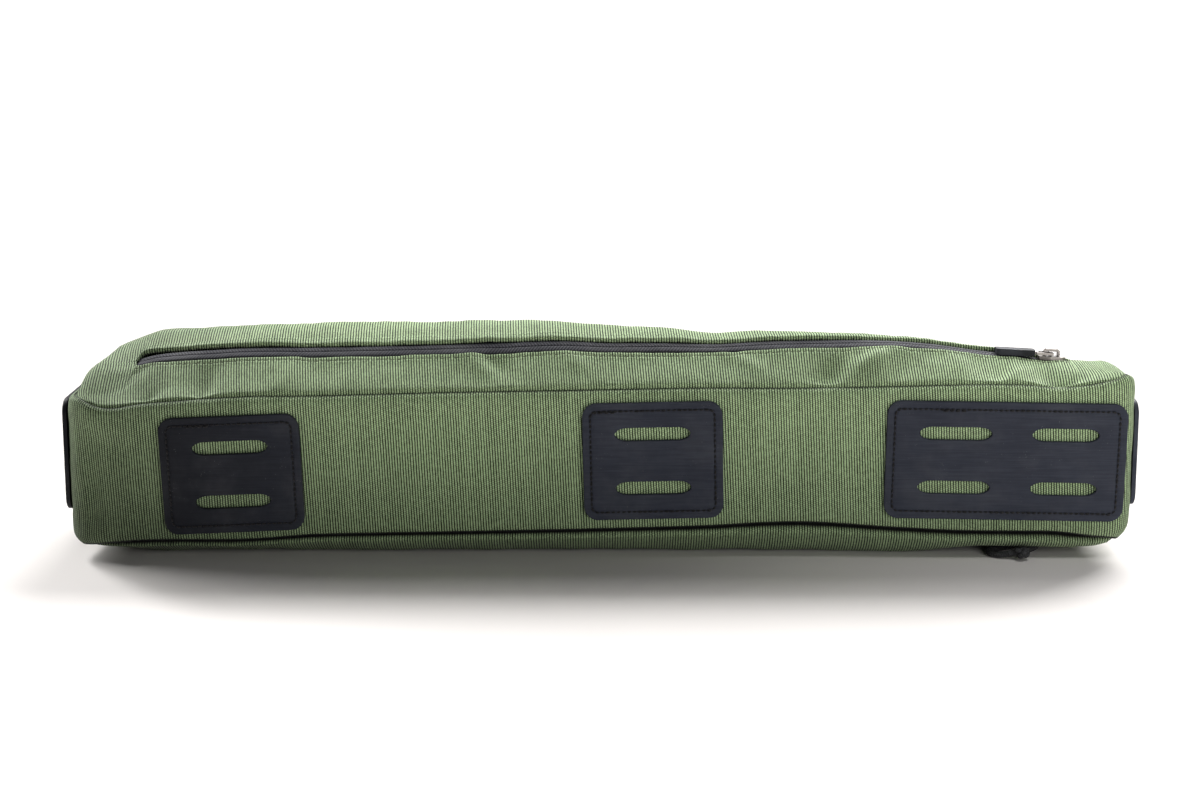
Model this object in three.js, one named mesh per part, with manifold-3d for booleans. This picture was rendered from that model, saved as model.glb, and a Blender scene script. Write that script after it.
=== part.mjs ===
// Half-frame bicycle bag lying on its side, in millimetres with +Z up
// +X runs along the top-tube edge to the narrow end, +Y from that edge to the lower edge
// The bag rests on its lower panel at Z = 0
import * as THREE from "three";
import { mergeVertices } from "three/addons/utils/BufferGeometryUtils.js";
import Module from "manifold-3d";

const wasm = await Module();
wasm.setup();

// Sewn body
const REAR_X = -244;
const FRONT_X = 241.5;
const REAR_DEPTH = 128;
const FRONT_DEPTH = 62;
const REAR_LEAN = 8;
const FRONT_LEAN = 4;
const CLOTH = 1.8;
const GAP = 0.4;
const SEAM_INSET = 3.2;
const MITRE = 0.9 * CLOTH;
const SEAM_GAP = 0.7 * GAP;

// Corners of the plan outline in turn round the bag
const CORNERS = [
  { x: REAR_X, y: 0, radius: 16 },
  { x: FRONT_X, y: 0, radius: 9 },
  { x: FRONT_X - FRONT_LEAN, y: FRONT_DEPTH, radius: 24 },
  { x: REAR_X + REAR_LEAN, y: REAR_DEPTH, radius: 30 },
];
const EDGE = { top: 0, front: 1, low: 2, rear: 3 };

// Heights of both seams above the floor along the top-tube edge, where the bag slumps
const SEAMS = [
  { x: -242, upper: 76.6, lower: 6.6 },
  { x: -224, upper: 71.4, lower: 8.8 },
  { x: -207, upper: 73.5, lower: 10.3 },
  { x: -162, upper: 76.7, lower: 10.7 },
  { x: -130, upper: 77.1, lower: 12.9 },
  { x: -73, upper: 78.6, lower: 14.1 },
  { x: -19, upper: 79.6, lower: 15.2 },
  { x: 44, upper: 80.7, lower: 16.9 },
  { x: 89, upper: 80.7, lower: 18.9 },
  { x: 135, upper: 81.5, lower: 16.2 },
  { x: 162, upper: 82.2, lower: 14.8 },
  { x: 190, upper: 82.2, lower: 14.5 },
  { x: 207, upper: 80.9, lower: 14.2 },
  { x: 225, upper: 83.2, lower: 11.3 },
  { x: 242, upper: 88, lower: 9.3 },
];
const LOW_EDGE_SEAMS = { upper: 76.2, lower: 11.2 };

// Shoulder of the gusset at each seam, from the seam outwards
const SHOULDER = [
  { drop: 0, inset: SEAM_INSET },
  { drop: 2.2, inset: 0.9 },
  { drop: 6, inset: 0 },
];
const LINING_DROP = 6.5;

// Extra inset of the lower seam where the ends turn under
const END_TUCK = { start: 205, full: 240, inset: 3.5 };

// Rise of the stuffed upper panel above its seams
const CROWN = [
  { x: -244, rise: 13 },
  { x: -224, rise: 14.2 },
  { x: -207, rise: 18 },
  { x: -180, rise: 20 },
  { x: -132, rise: 22.3 },
  { x: -78, rise: 23 },
  { x: -20, rise: 24 },
  { x: 4, rise: 22 },
  { x: 50, rise: 21 },
  { x: 116, rise: 19.7 },
  { x: 150, rise: 16.5 },
  { x: 173, rise: 13 },
  { x: 215, rise: 8.2 },
  { x: 242, rise: 6.5 },
];
const CROWN_PEAK = 0.56;
const CROWN_POWER = 1.8;
const CROWN_END_REACH = 9;

// Dents of the upper panel: depth is inwards, turn is from +X, sizes are half widths
const FOLDS = [
  { x: -208, d: 5, along: 12, across: 9, turn: 70, depth: 1.4 },
  { x: -182, d: 12, along: 14, across: 9, turn: 80, depth: 1.6 },
  { x: -50, d: 12, along: 14, across: 8, turn: 60, depth: 1.0 },
  { x: 51, d: 58, along: 34, across: 18, turn: 90, depth: 2.4 },
  { x: 105, d: 6, along: 11, across: 8, turn: 0, depth: 2.6 },
  { x: 124, d: 14, along: 20, across: 8, turn: 35, depth: -1.4 },
  { x: 174, d: 12, along: 14, across: 9, turn: 70, depth: 1.2 },
  { x: 205, d: 4, along: 11, across: 8, turn: 0, depth: 1.8 },
];

// Underside: width of the turn from seam to floor, and the hollow round the lower slider
const TURN_UNDER = { top: 30, low: 30, ends: 40, spare: 20, power: 3 };
const SLIDER_HOLLOW = { x: 192, d: 20, along: 36, across: 18, rise: 7.2 };

// Distance over the plan from the upper seam to the near edge of the upper zip
const UPPER_ZIP_LINE = [
  { x: -216, near: 31 },
  { x: -180, near: 28 },
  { x: -132, near: 23.5 },
  { x: -19, near: 20.5 },
  { x: 100, near: 22 },
  { x: 150, near: 24 },
  { x: 218, near: 27 },
];
const LOWER_ZIP_LINE = [
  { x: -216, near: 18 },
  { x: 218, near: 18 },
];

// Zip: slot in the panel, raised chain between two sewn-in tapes
const ZIP = { slot: 9, flange: 3.8, tape: 0.9, recess: 0.6 };

// Segments of the round corners of extruded pieces
const SEGMENTS = { straight: 1, tab: 3, slider: 4, patch: 5 };

// Layout of the panel surfaces
const END_STATIONS = [0, 5, 10, 16, 22];
const MIDDLE_STEPS = 44;
const STRIP_ROWS = [0, 0.17, 0.42, 0.72, 1];
const FIELD_ROWS = [0.22, 0.46, 0.68, 0.87, 1];
const END_ROWS = [0, 0.05, 0.11, 0.18, 0.26, 0.36, 0.5, 0.65, 0.79, 0.91, 1];
const SLOT_ROW = STRIP_ROWS.length - 1;
const SLOT_START = END_STATIONS.length - 1;
const SLOT_END = SLOT_START + MIDDLE_STEPS;
const OUTLINE_REACH = 30;

// Slider plate, its bridge, and the pull that swings on it
const SLIDER_X = 206.9;
const LOWER_SLIDER_X = 203;
const SLIDER = { tail: 6, nose: 6.4, half: 3.8, tailHalf: 2.4, shoulder: 1, cheek: 3.5, thick: 2.2 };
const BRIDGE = { half: 3.7, opening: 2.6, width: 2.2, rise: 3.2, headroom: 2.1, bevel: 0.9, root: 0.4 };
const LINK = { wire: 1.1, inside: 5.6, halfInside: 1.7, tongue: 5, tongueHalf: 1.6, axis: 1.05 };
const TAB = { start: 8, length: 18, half: 3.5, thick: 2.8, corner: 1.6, slack: 0.4 };

// Knotted cord of the lower zip: two strands between slider and knot
const CORD = { diameter: 3, sides: 8, step: 4 };
const KNOT = { x: 191.8, y: 3.6, z: 3.8, radius: 3.6, around: 12, down: 8 };
const CORD_OUT = [
  { x: 196.4, y: 26.0, z: 2.4 },
  { x: 192.5, y: 25.0, z: 2.1 },
  { x: 188.4, y: 22.0, z: 1.8 },
  { x: 184.4, y: 19.6, z: 1.7 },
  { x: 181.0, y: 18.3, z: 1.6 },
  { x: 178.6, y: 16.0, z: 1.6 },
  { x: 177.8, y: 13.0, z: 1.6 },
  { x: 178.8, y: 10.0, z: 1.6 },
  { x: 181.4, y: 7.8, z: 1.7 },
  { x: 184.6, y: 6.5, z: 2.2 },
  { x: 188.2, y: 5.4, z: 3.3 },
];
const CORD_BACK = [
  { x: 193.6, y: 7.6, z: 3.6 },
  { x: 195.0, y: 10.5, z: 3.0 },
  { x: 196.8, y: 14.0, z: 2.5 },
  { x: 198.8, y: 17.4, z: 2.2 },
  { x: 200.8, y: 20.6, z: 2.1 },
];

// Stitched strap anchors: place along an edge from its first corner, or by x on the top edge
const PATCH = { thick: 2, corner: 6.5, rows: 25 };
const SLOT_HIGH = 6;
const PATCHES = [
  { name: "anchor_patch_left", edge: EDGE.top, along: -167.3, up: 42.0, wide: 63.5, tall: 54, turn: 2.4 },
  { name: "anchor_patch_middle", edge: EDGE.top, along: 23, up: 48.3, wide: 63.2, tall: 54, turn: 1.2 },
  { name: "anchor_patch_right", edge: EDGE.top, along: 182, up: 48.1, wide: 108.4, tall: 54.5, turn: -1 },
  { name: "anchor_patch_front_end", edge: EDGE.front, along: 24, up: 48.6, wide: 32, tall: 49, turn: 0 },
  { name: "anchor_patch_rear_end", edge: EDGE.rear, along: 84.7, up: 46.9, wide: 62, tall: 52, turn: 0 },
];
const PATCH_SLOTS = {
  anchor_patch_left: [{ at: 0, long: 34 }],
  anchor_patch_middle: [{ at: 0, long: 34 }],
  anchor_patch_right: [{ at: -23, long: 32.5 }, { at: 26.6, long: 30 }],
  anchor_patch_front_end: [{ at: 0, long: 20 }],
  anchor_patch_rear_end: [{ at: 0, long: 34 }],
};

const GREEN_CLOTH = new THREE.MeshStandardMaterial({ color: 0x6f7d5f, roughness: 0.92, metalness: 0 });
const ZIP_GREY = new THREE.MeshStandardMaterial({ color: 0x505058, roughness: 0.5, metalness: 0 });
const RUBBER = new THREE.MeshStandardMaterial({ color: 0x2b2c30, roughness: 0.7, metalness: 0 });
const STEEL = new THREE.MeshStandardMaterial({ color: 0x77777c, roughness: 0.35, metalness: 0.9 });
const BLACK_CORD = new THREE.MeshStandardMaterial({ color: 0x17171a, roughness: 0.85, metalness: 0 });

// A smooth curve through one column of a table whose rows run in order of x
function column(rows, key) {
  const last = rows.length - 1;
  const slope = (k) => {
    const before = rows[Math.max(k - 1, 0)];
    const after = rows[Math.min(k + 1, last)];
    return (after[key] - before[key]) / (after.x - before.x);
  };
  return (x) => {
    const held = THREE.MathUtils.clamp(x, rows[0].x, rows[last].x);
    const i = Math.min(rows.findLastIndex((row) => row.x <= held), last - 1);
    const span = rows[i + 1].x - rows[i].x;
    const t = (held - rows[i].x) / span;
    const ease = t * t * (3 - 2 * t);
    const lean = slope(i) * t * (1 - t) * (1 - t) - slope(i + 1) * t * t * (1 - t);
    return rows[i][key] * (1 - ease) + rows[i + 1][key] * ease + lean * span;
  };
}

const frontSeam = { upper: column(SEAMS, "upper"), lower: column(SEAMS, "lower") };
const crownRise = column(CROWN, "rise");

// Closed plan outline with round corners, counter-clockwise seen from above
function roundedOutline() {
  const path = new THREE.Path();
  const count = CORNERS.length;
  CORNERS.forEach((corner, k) => {
    const here = new THREE.Vector2(corner.x, corner.y);
    const towards = (other) => new THREE.Vector2(other.x, other.y).sub(here).normalize();
    const back = towards(CORNERS[(k + count - 1) % count]);
    const ahead = towards(CORNERS[(k + 1) % count]);
    const half = Math.acos(back.dot(ahead)) / 2;
    const inwards = back.clone().add(ahead).normalize();
    const centre = here.clone().addScaledVector(inwards, corner.radius / Math.sin(half));
    const reach = corner.radius / Math.tan(half);
    const touch = (side) => here.clone().addScaledVector(side, reach).sub(centre).angle();
    path.absarc(centre.x, centre.y, corner.radius, touch(back), touch(ahead), false);
  });
  path.closePath();
  return path;
}

const outline = roundedOutline();
const outlineLength = outline.getLength();
const runs = outline.getCurveLengths();
const cornerMarks = CORNERS.map((_, k) => ((k > 0 ? runs[2 * k - 1] : 0) + runs[2 * k]) / 2);

// A point of an edge at a share of its run between corner middles, and its outward direction
function edgePoint(edge, share) {
  const from = cornerMarks[edge];
  const to = edge + 1 < cornerMarks.length ? cornerMarks[edge + 1] : cornerMarks[0] + outlineLength;
  const at = ((from + share * (to - from)) % outlineLength) / outlineLength;
  const tangent = outline.getTangent(at);
  return { point: outline.getPoint(at), out: new THREE.Vector2(tangent.y, -tangent.x) };
}

const topRun = cornerMarks[1] - cornerMarks[0];
const middleRun = topRun - 2 * END_STATIONS[SLOT_START];
const middleStations = Array.from({ length: MIDDLE_STEPS - 1 }, (_, k) => {
  return END_STATIONS[SLOT_START] + (middleRun * (k + 1)) / MIDDLE_STEPS;
});
const stationRuns = [
  ...END_STATIONS,
  ...middleStations,
  ...END_STATIONS.map((run) => topRun - run).reverse(),
];
const stations = stationRuns.map((run) => run / topRun);
const lastStation = stations.length - 1;
const lastRow = END_ROWS.length - 1;

// A seam height at a share of the way from the top-tube edge to the lower edge
function seamHeight(level, x, share) {
  return THREE.MathUtils.lerp(frontSeam[level](x), LOW_EDGE_SEAMS[level], share);
}

// Inset of a seam from the plan outline
function seamInset(level, x) {
  const tuck = END_TUCK.inset * THREE.MathUtils.smoothstep(Math.abs(x), END_TUCK.start, END_TUCK.full);
  return SEAM_INSET + (level === "lower" ? tuck : 0);
}

// Stations all round the bag with the heights of both seams
function seamLoop() {
  const topX = (i) => edgePoint(EDGE.top, stations[i]).point.x;
  const stop = (edge, share, x, depthShare) => ({
    ...edgePoint(edge, share),
    upper: seamHeight("upper", x, depthShare),
    lower: seamHeight("lower", x, depthShare),
  });
  const back = stations.slice(0, -1).reverse();
  return [
    ...stations.map((share, i) => stop(EDGE.top, share, topX(i), 0)),
    ...END_ROWS.slice(1).map((share) => stop(EDGE.front, share, topX(lastStation), share)),
    ...back.map((share, k) => stop(EDGE.low, 1 - share, topX(lastStation - 1 - k), 1)),
    ...END_ROWS.slice(1, -1).reverse().map((share) => stop(EDGE.rear, 1 - share, topX(0), share)),
  ];
}

// Makes the faces of a closed body look outwards
function facedOutwards(geometry) {
  const at = geometry.attributes.position;
  const index = geometry.index.array;
  const corner = [new THREE.Vector3(), new THREE.Vector3(), new THREE.Vector3()];
  let volume = 0;
  for (let k = 0; k < index.length; k += 3) {
    corner.forEach((v, n) => v.fromBufferAttribute(at, index[k + n]));
    volume += corner[0].dot(corner[1].clone().cross(corner[2]));
  }
  if (volume < 0) {
    for (let k = 0; k < index.length; k += 3) {
      [index[k + 1], index[k + 2]] = [index[k + 2], index[k + 1]];
    }
  }
  return geometry;
}

function bodyFrom(points, triangles) {
  const geometry = new THREE.BufferGeometry().setFromPoints(points);
  geometry.setIndex(triangles);
  return facedOutwards(geometry);
}

// A solid swept through rings of points, joined end to start or closed with flat ends
function sweep(rings, section) {
  const size = rings[0].length;
  const joined = section === null;
  const triangles = [];
  const spans = joined ? rings.length : rings.length - 1;
  for (let k = 0; k < spans; k++) {
    const here = k * size;
    const next = ((k + 1) % rings.length) * size;
    for (let n = 0; n < size; n++) {
      const m = (n + 1) % size;
      triangles.push(here + n, next + n, next + m, here + n, next + m, here + m);
    }
  }
  if (!joined) {
    const far = (rings.length - 1) * size;
    const turned = THREE.ShapeUtils.isClockWise(section);
    for (const [a, b, c] of THREE.ShapeUtils.triangulateShape(section, [])) {
      const start = turned ? [a, c, b] : [a, b, c];
      triangles.push(...start);
      triangles.push(...start.map((v) => v + far).reverse());
    }
  }
  return bodyFrom(rings.flat(), triangles);
}

// Gusset: one wall section carried right round the outline
function gussetBody() {
  const rings = seamLoop().map(({ point, out, upper, lower }) => {
    const at = (inset, z) => new THREE.Vector3(point.x - inset * out.x, point.y - inset * out.y, z);
    const lowerInset = seamInset("lower", point.x);
    const stretch = lowerInset / SEAM_INSET;
    return [
      ...SHOULDER.map(({ drop, inset }) => at(inset, upper - drop)),
      ...SHOULDER.map(({ drop, inset }) => at(inset * stretch, lower + drop * stretch)).reverse(),
      at(lowerInset + MITRE, lower + MITRE),
      at(CLOTH, lower + LINING_DROP * stretch),
      at(CLOTH, upper - LINING_DROP),
      at(SEAM_INSET + MITRE, upper - MITRE),
    ];
  });
  return sweep(rings, null);
}

// Depth of the dents of the upper panel at a place
function foldDepth(x, d) {
  return FOLDS.reduce((sum, fold) => {
    const turn = THREE.MathUtils.degToRad(fold.turn);
    const u = (x - fold.x) * Math.cos(turn) + (d - fold.d) * Math.sin(turn);
    const v = (d - fold.d) * Math.cos(turn) - (x - fold.x) * Math.sin(turn);
    return sum + fold.depth * Math.exp(-((u / fold.along) ** 2) - (v / fold.across) ** 2);
  }, 0);
}

// Height of the upper panel over its seams
function upperRise({ x, d, share, fromRear, fromFront }) {
  const ends = [fromRear, fromFront].reduce(
    (rise, run) => rise * (1 - Math.max(0, 1 - run / CROWN_END_REACH) ** 2),
    1,
  );
  const slope = share < CROWN_PEAK ? CROWN_PEAK : 1 - CROWN_PEAK;
  const crown = crownRise(x) * (1 - (Math.abs(share - CROWN_PEAK) / slope) ** CROWN_POWER);
  const near = Math.min(1, d / SEAM_INSET);
  return ends * (crown - near * foldDepth(x, d));
}

// Height of the lower panel as a share of its seam height, and the hollow round its slider
function lowerShare({ d, across, fromRear, fromFront }) {
  const squeeze = Math.min(1, (across - TURN_UNDER.spare) / (TURN_UNDER.top + TURN_UNDER.low));
  const turns = [
    { run: d, width: TURN_UNDER.top * squeeze },
    { run: across - d, width: TURN_UNDER.low * squeeze },
    { run: fromRear, width: TURN_UNDER.ends },
    { run: fromFront, width: TURN_UNDER.ends },
  ];
  const flat = turns.reduce((rest, { run, width }) => {
    return rest * (1 - Math.max(0, 1 - run / width) ** TURN_UNDER.power);
  }, 1);
  return 1 - flat;
}

function sliderHollow({ x, d, share, fromFront }) {
  const u = (x - SLIDER_HOLLOW.x) / SLIDER_HOLLOW.along;
  const v = (d - SLIDER_HOLLOW.d) / SLIDER_HOLLOW.across;
  const edges = Math.min(1, d / SLIDER_HOLLOW.d) * Math.min(1, fromFront / SLIDER_HOLLOW.d) * (1 - share);
  return SLIDER_HOLLOW.rise * edges * Math.exp(-(u ** 4) - v ** 2);
}

// The two sides of the cloth of a panel as grids of points, with the outward normals
function panelGrid(level) {
  const up = level === "upper" ? 1 : -1;
  const zipNear = column(level === "upper" ? UPPER_ZIP_LINE : LOWER_ZIP_LINE, "near");
  const onSeam = ({ point, out }) => {
    return point.clone().addScaledVector(out, -(seamInset(level, point.x) + SEAM_GAP));
  };
  const tops = stations.map((share) => onSeam(edgePoint(EDGE.top, share)));
  const lows = stations.map((share) => onSeam(edgePoint(EDGE.low, 1 - share)));
  const rears = END_ROWS.map((share) => onSeam(edgePoint(EDGE.rear, 1 - share)));
  const fronts = END_ROWS.map((share) => onSeam(edgePoint(EDGE.front, share)));
  const topX = stations.map((share) => edgePoint(EDGE.top, share).point.x);
  const places = stations.map((_, i) => {
    const across = tops[i].distanceTo(lows[i]);
    const fromRear = stationRuns[i];
    const fromFront = topRun - stationRuns[i];
    const settled = Math.min(1, Math.min(fromRear, fromFront) / END_STATIONS[SLOT_START]);
    const near = zipNear(tops[i].x);
    const rows = [
      ...STRIP_ROWS.map((share) => share * near),
      near + ZIP.slot,
      ...FIELD_ROWS.map((share) => near + ZIP.slot + share * (across - near - ZIP.slot)),
    ];
    return rows.map((d, j) => {
      const share = THREE.MathUtils.lerp(END_ROWS[j], d / across, settled);
      return { share, across, fromRear, fromFront };
    });
  });
  const straight = (i, share) => tops[i].clone().lerp(lows[i], share);
  const fade = (run) => Math.max(0, 1 - run / OUTLINE_REACH) ** 2;
  const outer = places.map((row, i) => row.map((place, j) => {
    const flat = straight(i, place.share)
      .addScaledVector(rears[j].clone().sub(straight(0, END_ROWS[j])), fade(place.fromRear))
      .addScaledVector(fronts[j].clone().sub(straight(lastStation, END_ROWS[j])), fade(place.fromFront));
    const spot = { ...place, x: flat.x, d: place.share * place.across };
    const seam = seamHeight(level, topX[i], place.share);
    const filled = () => seam + upperRise(spot);
    const resting = () => seam * lowerShare(spot) + sliderHollow(spot);
    const height = level === "upper" ? filled() : resting();
    const edge = i === 0 || j === 0 || i === lastStation || j === lastRow;
    return new THREE.Vector3(flat.x, flat.y, edge ? seam + up * SEAM_GAP : height);
  }));
  const normal = (i, j) => {
    const along = outer[Math.min(i + 1, lastStation)][j].clone().sub(outer[Math.max(i - 1, 0)][j]);
    const over = outer[i][Math.min(j + 1, lastRow)].clone().sub(outer[i][Math.max(j - 1, 0)]);
    return along.cross(over).normalize().multiplyScalar(up);
  };
  const normals = outer.map((row, i) => row.map((_, j) => normal(i, j)));
  const rims = [
    { is: (i, j) => j === 0, out: (i) => edgePoint(EDGE.top, stations[i]).out },
    { is: (i, j) => j === lastRow, out: (i) => edgePoint(EDGE.low, 1 - stations[i]).out },
    { is: (i) => i === 0, out: (i, j) => edgePoint(EDGE.rear, 1 - END_ROWS[j]).out },
    { is: (i) => i === lastStation, out: (i, j) => edgePoint(EDGE.front, END_ROWS[j]).out },
  ];
  const inner = outer.map((row, i) => row.map((point, j) => {
    const rim = rims.find(({ is }) => is(i, j));
    if (!rim) return point.clone().addScaledVector(normals[i][j], -CLOTH);
    const out = rim.out(i, j);
    return point.clone().add(new THREE.Vector3(-MITRE * out.x, -MITRE * out.y, -up * MITRE));
  }));
  return { outer, inner, normals };
}

// A panel of cloth with its zip slot left open
function panelBody({ outer, inner }) {
  const rowSize = lastRow + 1;
  const inside = rowSize * (lastStation + 1);
  const cloth = (i, j) => {
    const onPanel = i >= 0 && j >= 0 && i < lastStation && j < lastRow;
    return onPanel && !(j === SLOT_ROW && i >= SLOT_START && i < SLOT_END);
  };
  const triangles = [];
  for (let i = 0; i < lastStation; i++) {
    for (let j = 0; j < lastRow; j++) {
      if (!cloth(i, j)) continue;
      const ring = [[i, j], [i + 1, j], [i + 1, j + 1], [i, j + 1]].map(([m, n]) => m * rowSize + n);
      const beyond = [[i, j - 1], [i + 1, j], [i, j + 1], [i - 1, j]];
      triangles.push(ring[0], ring[1], ring[2], ring[0], ring[2], ring[3]);
      const back = ring.map((v) => v + inside);
      triangles.push(back[0], back[2], back[1], back[0], back[3], back[2]);
      beyond.forEach(([m, n], k) => {
        if (cloth(m, n)) return;
        const next = (k + 1) % ring.length;
        triangles.push(ring[next], ring[k], back[k], ring[next], back[k], back[next]);
      });
    }
  }
  return bodyFrom([...outer.flat(), ...inner.flat()], triangles);
}

// A point of a panel by station, distance past the near edge of its slot, and depth under the cloth
function slotPoint({ outer, normals }, i, past, depth) {
  const row = past < 0 ? SLOT_ROW - 1 : past <= ZIP.slot ? SLOT_ROW : SLOT_ROW + 1;
  const from = outer[i][row];
  const to = outer[i][row + 1];
  const start = past < 0 ? from.distanceTo(to) + past : past <= ZIP.slot ? past : past - ZIP.slot;
  const span = past >= 0 && past <= ZIP.slot ? ZIP.slot : from.distanceTo(to);
  const share = start / span;
  const lean = normals[i][row].clone().lerp(normals[i][row + 1], share).normalize();
  return from.clone().lerp(to, share).addScaledVector(lean, -depth);
}

// Zip: tapes under the cloth and the chain standing up in the slot
function zipBody(grid) {
  const tapeTop = CLOTH + GAP;
  const tapeBase = tapeTop + ZIP.tape;
  const profile = [
    { past: -ZIP.flange, depth: tapeTop },
    { past: GAP, depth: tapeTop },
    { past: GAP, depth: ZIP.recess },
    { past: ZIP.slot - GAP, depth: ZIP.recess },
    { past: ZIP.slot - GAP, depth: tapeTop },
    { past: ZIP.slot + ZIP.flange, depth: tapeTop },
    { past: ZIP.slot + ZIP.flange, depth: tapeBase },
    { past: -ZIP.flange, depth: tapeBase },
  ];
  const rings = [];
  for (let i = SLOT_START; i <= SLOT_END; i++) {
    rings.push(profile.map(({ past, depth }) => slotPoint(grid, i, past, depth)));
  }
  const pullIn = (ring, next) => ring.map((point, n) => {
    const along = next[n].clone().sub(point).normalize();
    return point.clone().addScaledVector(along, GAP);
  });
  rings[0] = pullIn(rings[0], rings[1]);
  rings[rings.length - 1] = pullIn(rings.at(-1), rings.at(-2));
  return sweep(rings, profile.map(({ past, depth }) => new THREE.Vector2(past, -depth)));
}

// Axes of a zip at a place along the bag: along the chain, across it, and off the cloth
function chainFrame(grid, x) {
  const middle = (i) => slotPoint(grid, i, ZIP.slot / 2, 0);
  let i = SLOT_START;
  while (i < SLOT_END - 1 && middle(i + 1).x < x) i++;
  const from = middle(i);
  const to = middle(i + 1);
  const share = (x - from.x) / (to.x - from.x);
  const off = new THREE.Vector3();
  for (const m of [i, i + 1]) off.add(grid.normals[m][SLOT_ROW]).add(grid.normals[m][SLOT_ROW + 1]);
  const along = to.clone().sub(from).normalize();
  const over = off.clone().cross(along).normalize();
  const normal = along.clone().cross(over);
  return new THREE.Matrix4().makeBasis(along, over, normal).setPosition(from.lerp(to, share));
}

function solidOf(geometry) {
  const bare = geometry.clone();
  bare.deleteAttribute("normal");
  bare.deleteAttribute("uv");
  const merged = mergeVertices(bare);
  return new wasm.Manifold(new wasm.Mesh({
    numProp: 3,
    vertProperties: merged.attributes.position.array,
    triVerts: new Uint32Array(merged.index.array),
  }));
}

function geometryOf(solid) {
  const mesh = solid.getMesh();
  const geometry = new THREE.BufferGeometry();
  geometry.setAttribute("position", new THREE.BufferAttribute(mesh.vertProperties, mesh.numProp));
  geometry.setIndex(new THREE.BufferAttribute(mesh.triVerts, 1));
  return geometry;
}

function extruded(shape, depth, curveSegments) {
  return new THREE.ExtrudeGeometry(shape, { depth, curveSegments, bevelEnabled: false });
}

// Slider plate in chain axes, lying just over the chain
function sliderPlate() {
  const shape = new THREE.Shape();
  shape.moveTo(-SLIDER.tail, -SLIDER.tailHalf);
  shape.lineTo(-SLIDER.shoulder, -SLIDER.half);
  shape.lineTo(SLIDER.cheek, -SLIDER.half);
  shape.quadraticCurveTo(SLIDER.nose, -SLIDER.half, SLIDER.nose, 0);
  shape.quadraticCurveTo(SLIDER.nose, SLIDER.half, SLIDER.cheek, SLIDER.half);
  shape.lineTo(-SLIDER.shoulder, SLIDER.half);
  shape.lineTo(-SLIDER.tail, SLIDER.tailHalf);
  return extruded(shape, SLIDER.thick, SEGMENTS.slider).translate(0, 0, GAP - ZIP.recess);
}

const plateTop = GAP - ZIP.recess + SLIDER.thick;

// Slider plate with the bridge that holds the pull
function bridgedSlider() {
  const arch = new THREE.Shape();
  arch.moveTo(-BRIDGE.half, -BRIDGE.root);
  arch.lineTo(-BRIDGE.opening, -BRIDGE.root);
  arch.lineTo(-BRIDGE.opening, BRIDGE.headroom);
  arch.lineTo(BRIDGE.opening, BRIDGE.headroom);
  arch.lineTo(BRIDGE.opening, -BRIDGE.root);
  arch.lineTo(BRIDGE.half, -BRIDGE.root);
  arch.lineTo(BRIDGE.half, BRIDGE.rise - BRIDGE.bevel);
  arch.lineTo(BRIDGE.half - BRIDGE.bevel, BRIDGE.rise);
  arch.lineTo(BRIDGE.bevel - BRIDGE.half, BRIDGE.rise);
  arch.lineTo(-BRIDGE.half, BRIDGE.rise - BRIDGE.bevel);
  const bridge = extruded(arch, BRIDGE.width, SEGMENTS.straight);
  bridge.rotateX(Math.PI / 2).translate(0, BRIDGE.width / 2, plateTop);
  return geometryOf(solidOf(sliderPlate()).add(solidOf(bridge)));
}

const axisHeight = plateTop + LINK.axis;

// Wire stirrup round the bridge, with the tongue that the tab is moulded on
function pullLink() {
  const end = LINK.wire / 2;
  const far = end + LINK.inside;
  const side = LINK.halfInside + LINK.wire;
  const tongueEnd = far + LINK.wire + LINK.tongue;
  const shape = new THREE.Shape();
  shape.moveTo(end, -side);
  shape.lineTo(end, side);
  shape.lineTo(-far - LINK.wire, side);
  shape.lineTo(-far - LINK.wire, LINK.tongueHalf);
  shape.lineTo(-tongueEnd, LINK.tongueHalf);
  shape.lineTo(-tongueEnd, -LINK.tongueHalf);
  shape.lineTo(-far - LINK.wire, -LINK.tongueHalf);
  shape.lineTo(-far - LINK.wire, -side);
  const eye = new THREE.Path();
  eye.moveTo(-end, -LINK.halfInside);
  eye.lineTo(-far, -LINK.halfInside);
  eye.lineTo(-far, LINK.halfInside);
  eye.lineTo(-end, LINK.halfInside);
  shape.holes.push(eye);
  const wire = extruded(shape, LINK.wire, SEGMENTS.straight);
  return wire.translate(0, 0, axisHeight - LINK.wire / 2);
}

function roundedRectangle(width, height, radius) {
  const x = width / 2;
  const y = height / 2;
  const shape = new THREE.Shape();
  shape.moveTo(radius - x, -y);
  shape.lineTo(x - radius, -y);
  shape.absarc(x - radius, radius - y, radius, -Math.PI / 2, 0, false);
  shape.lineTo(x, y - radius);
  shape.absarc(x - radius, y - radius, radius, 0, Math.PI / 2, false);
  shape.lineTo(radius - x, y);
  shape.absarc(radius - x, y - radius, radius, Math.PI / 2, Math.PI, false);
  shape.lineTo(-x, radius - y);
  shape.absarc(radius - x, radius - y, radius, Math.PI, 1.5 * Math.PI, false);
  return shape;
}

// Tab with a pocket for the tongue of the stirrup
function pullTab() {
  const centre = -TAB.start - TAB.length / 2;
  const face = roundedRectangle(TAB.length, 2 * TAB.half, TAB.corner);
  const block = extruded(face, TAB.thick, SEGMENTS.tab);
  block.translate(centre, 0, axisHeight - TAB.thick / 2);
  const tongueEnd = LINK.wire / 2 + LINK.inside + LINK.wire + LINK.tongue;
  const pocketLength = 2 * (tongueEnd + TAB.slack - TAB.start);
  const pocketWidth = 2 * (LINK.tongueHalf + TAB.slack);
  const pocket = new THREE.BoxGeometry(pocketLength, pocketWidth, LINK.wire + 2 * TAB.slack);
  pocket.translate(-TAB.start, 0, axisHeight);
  return geometryOf(solidOf(block).subtract(solidOf(pocket)));
}

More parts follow.
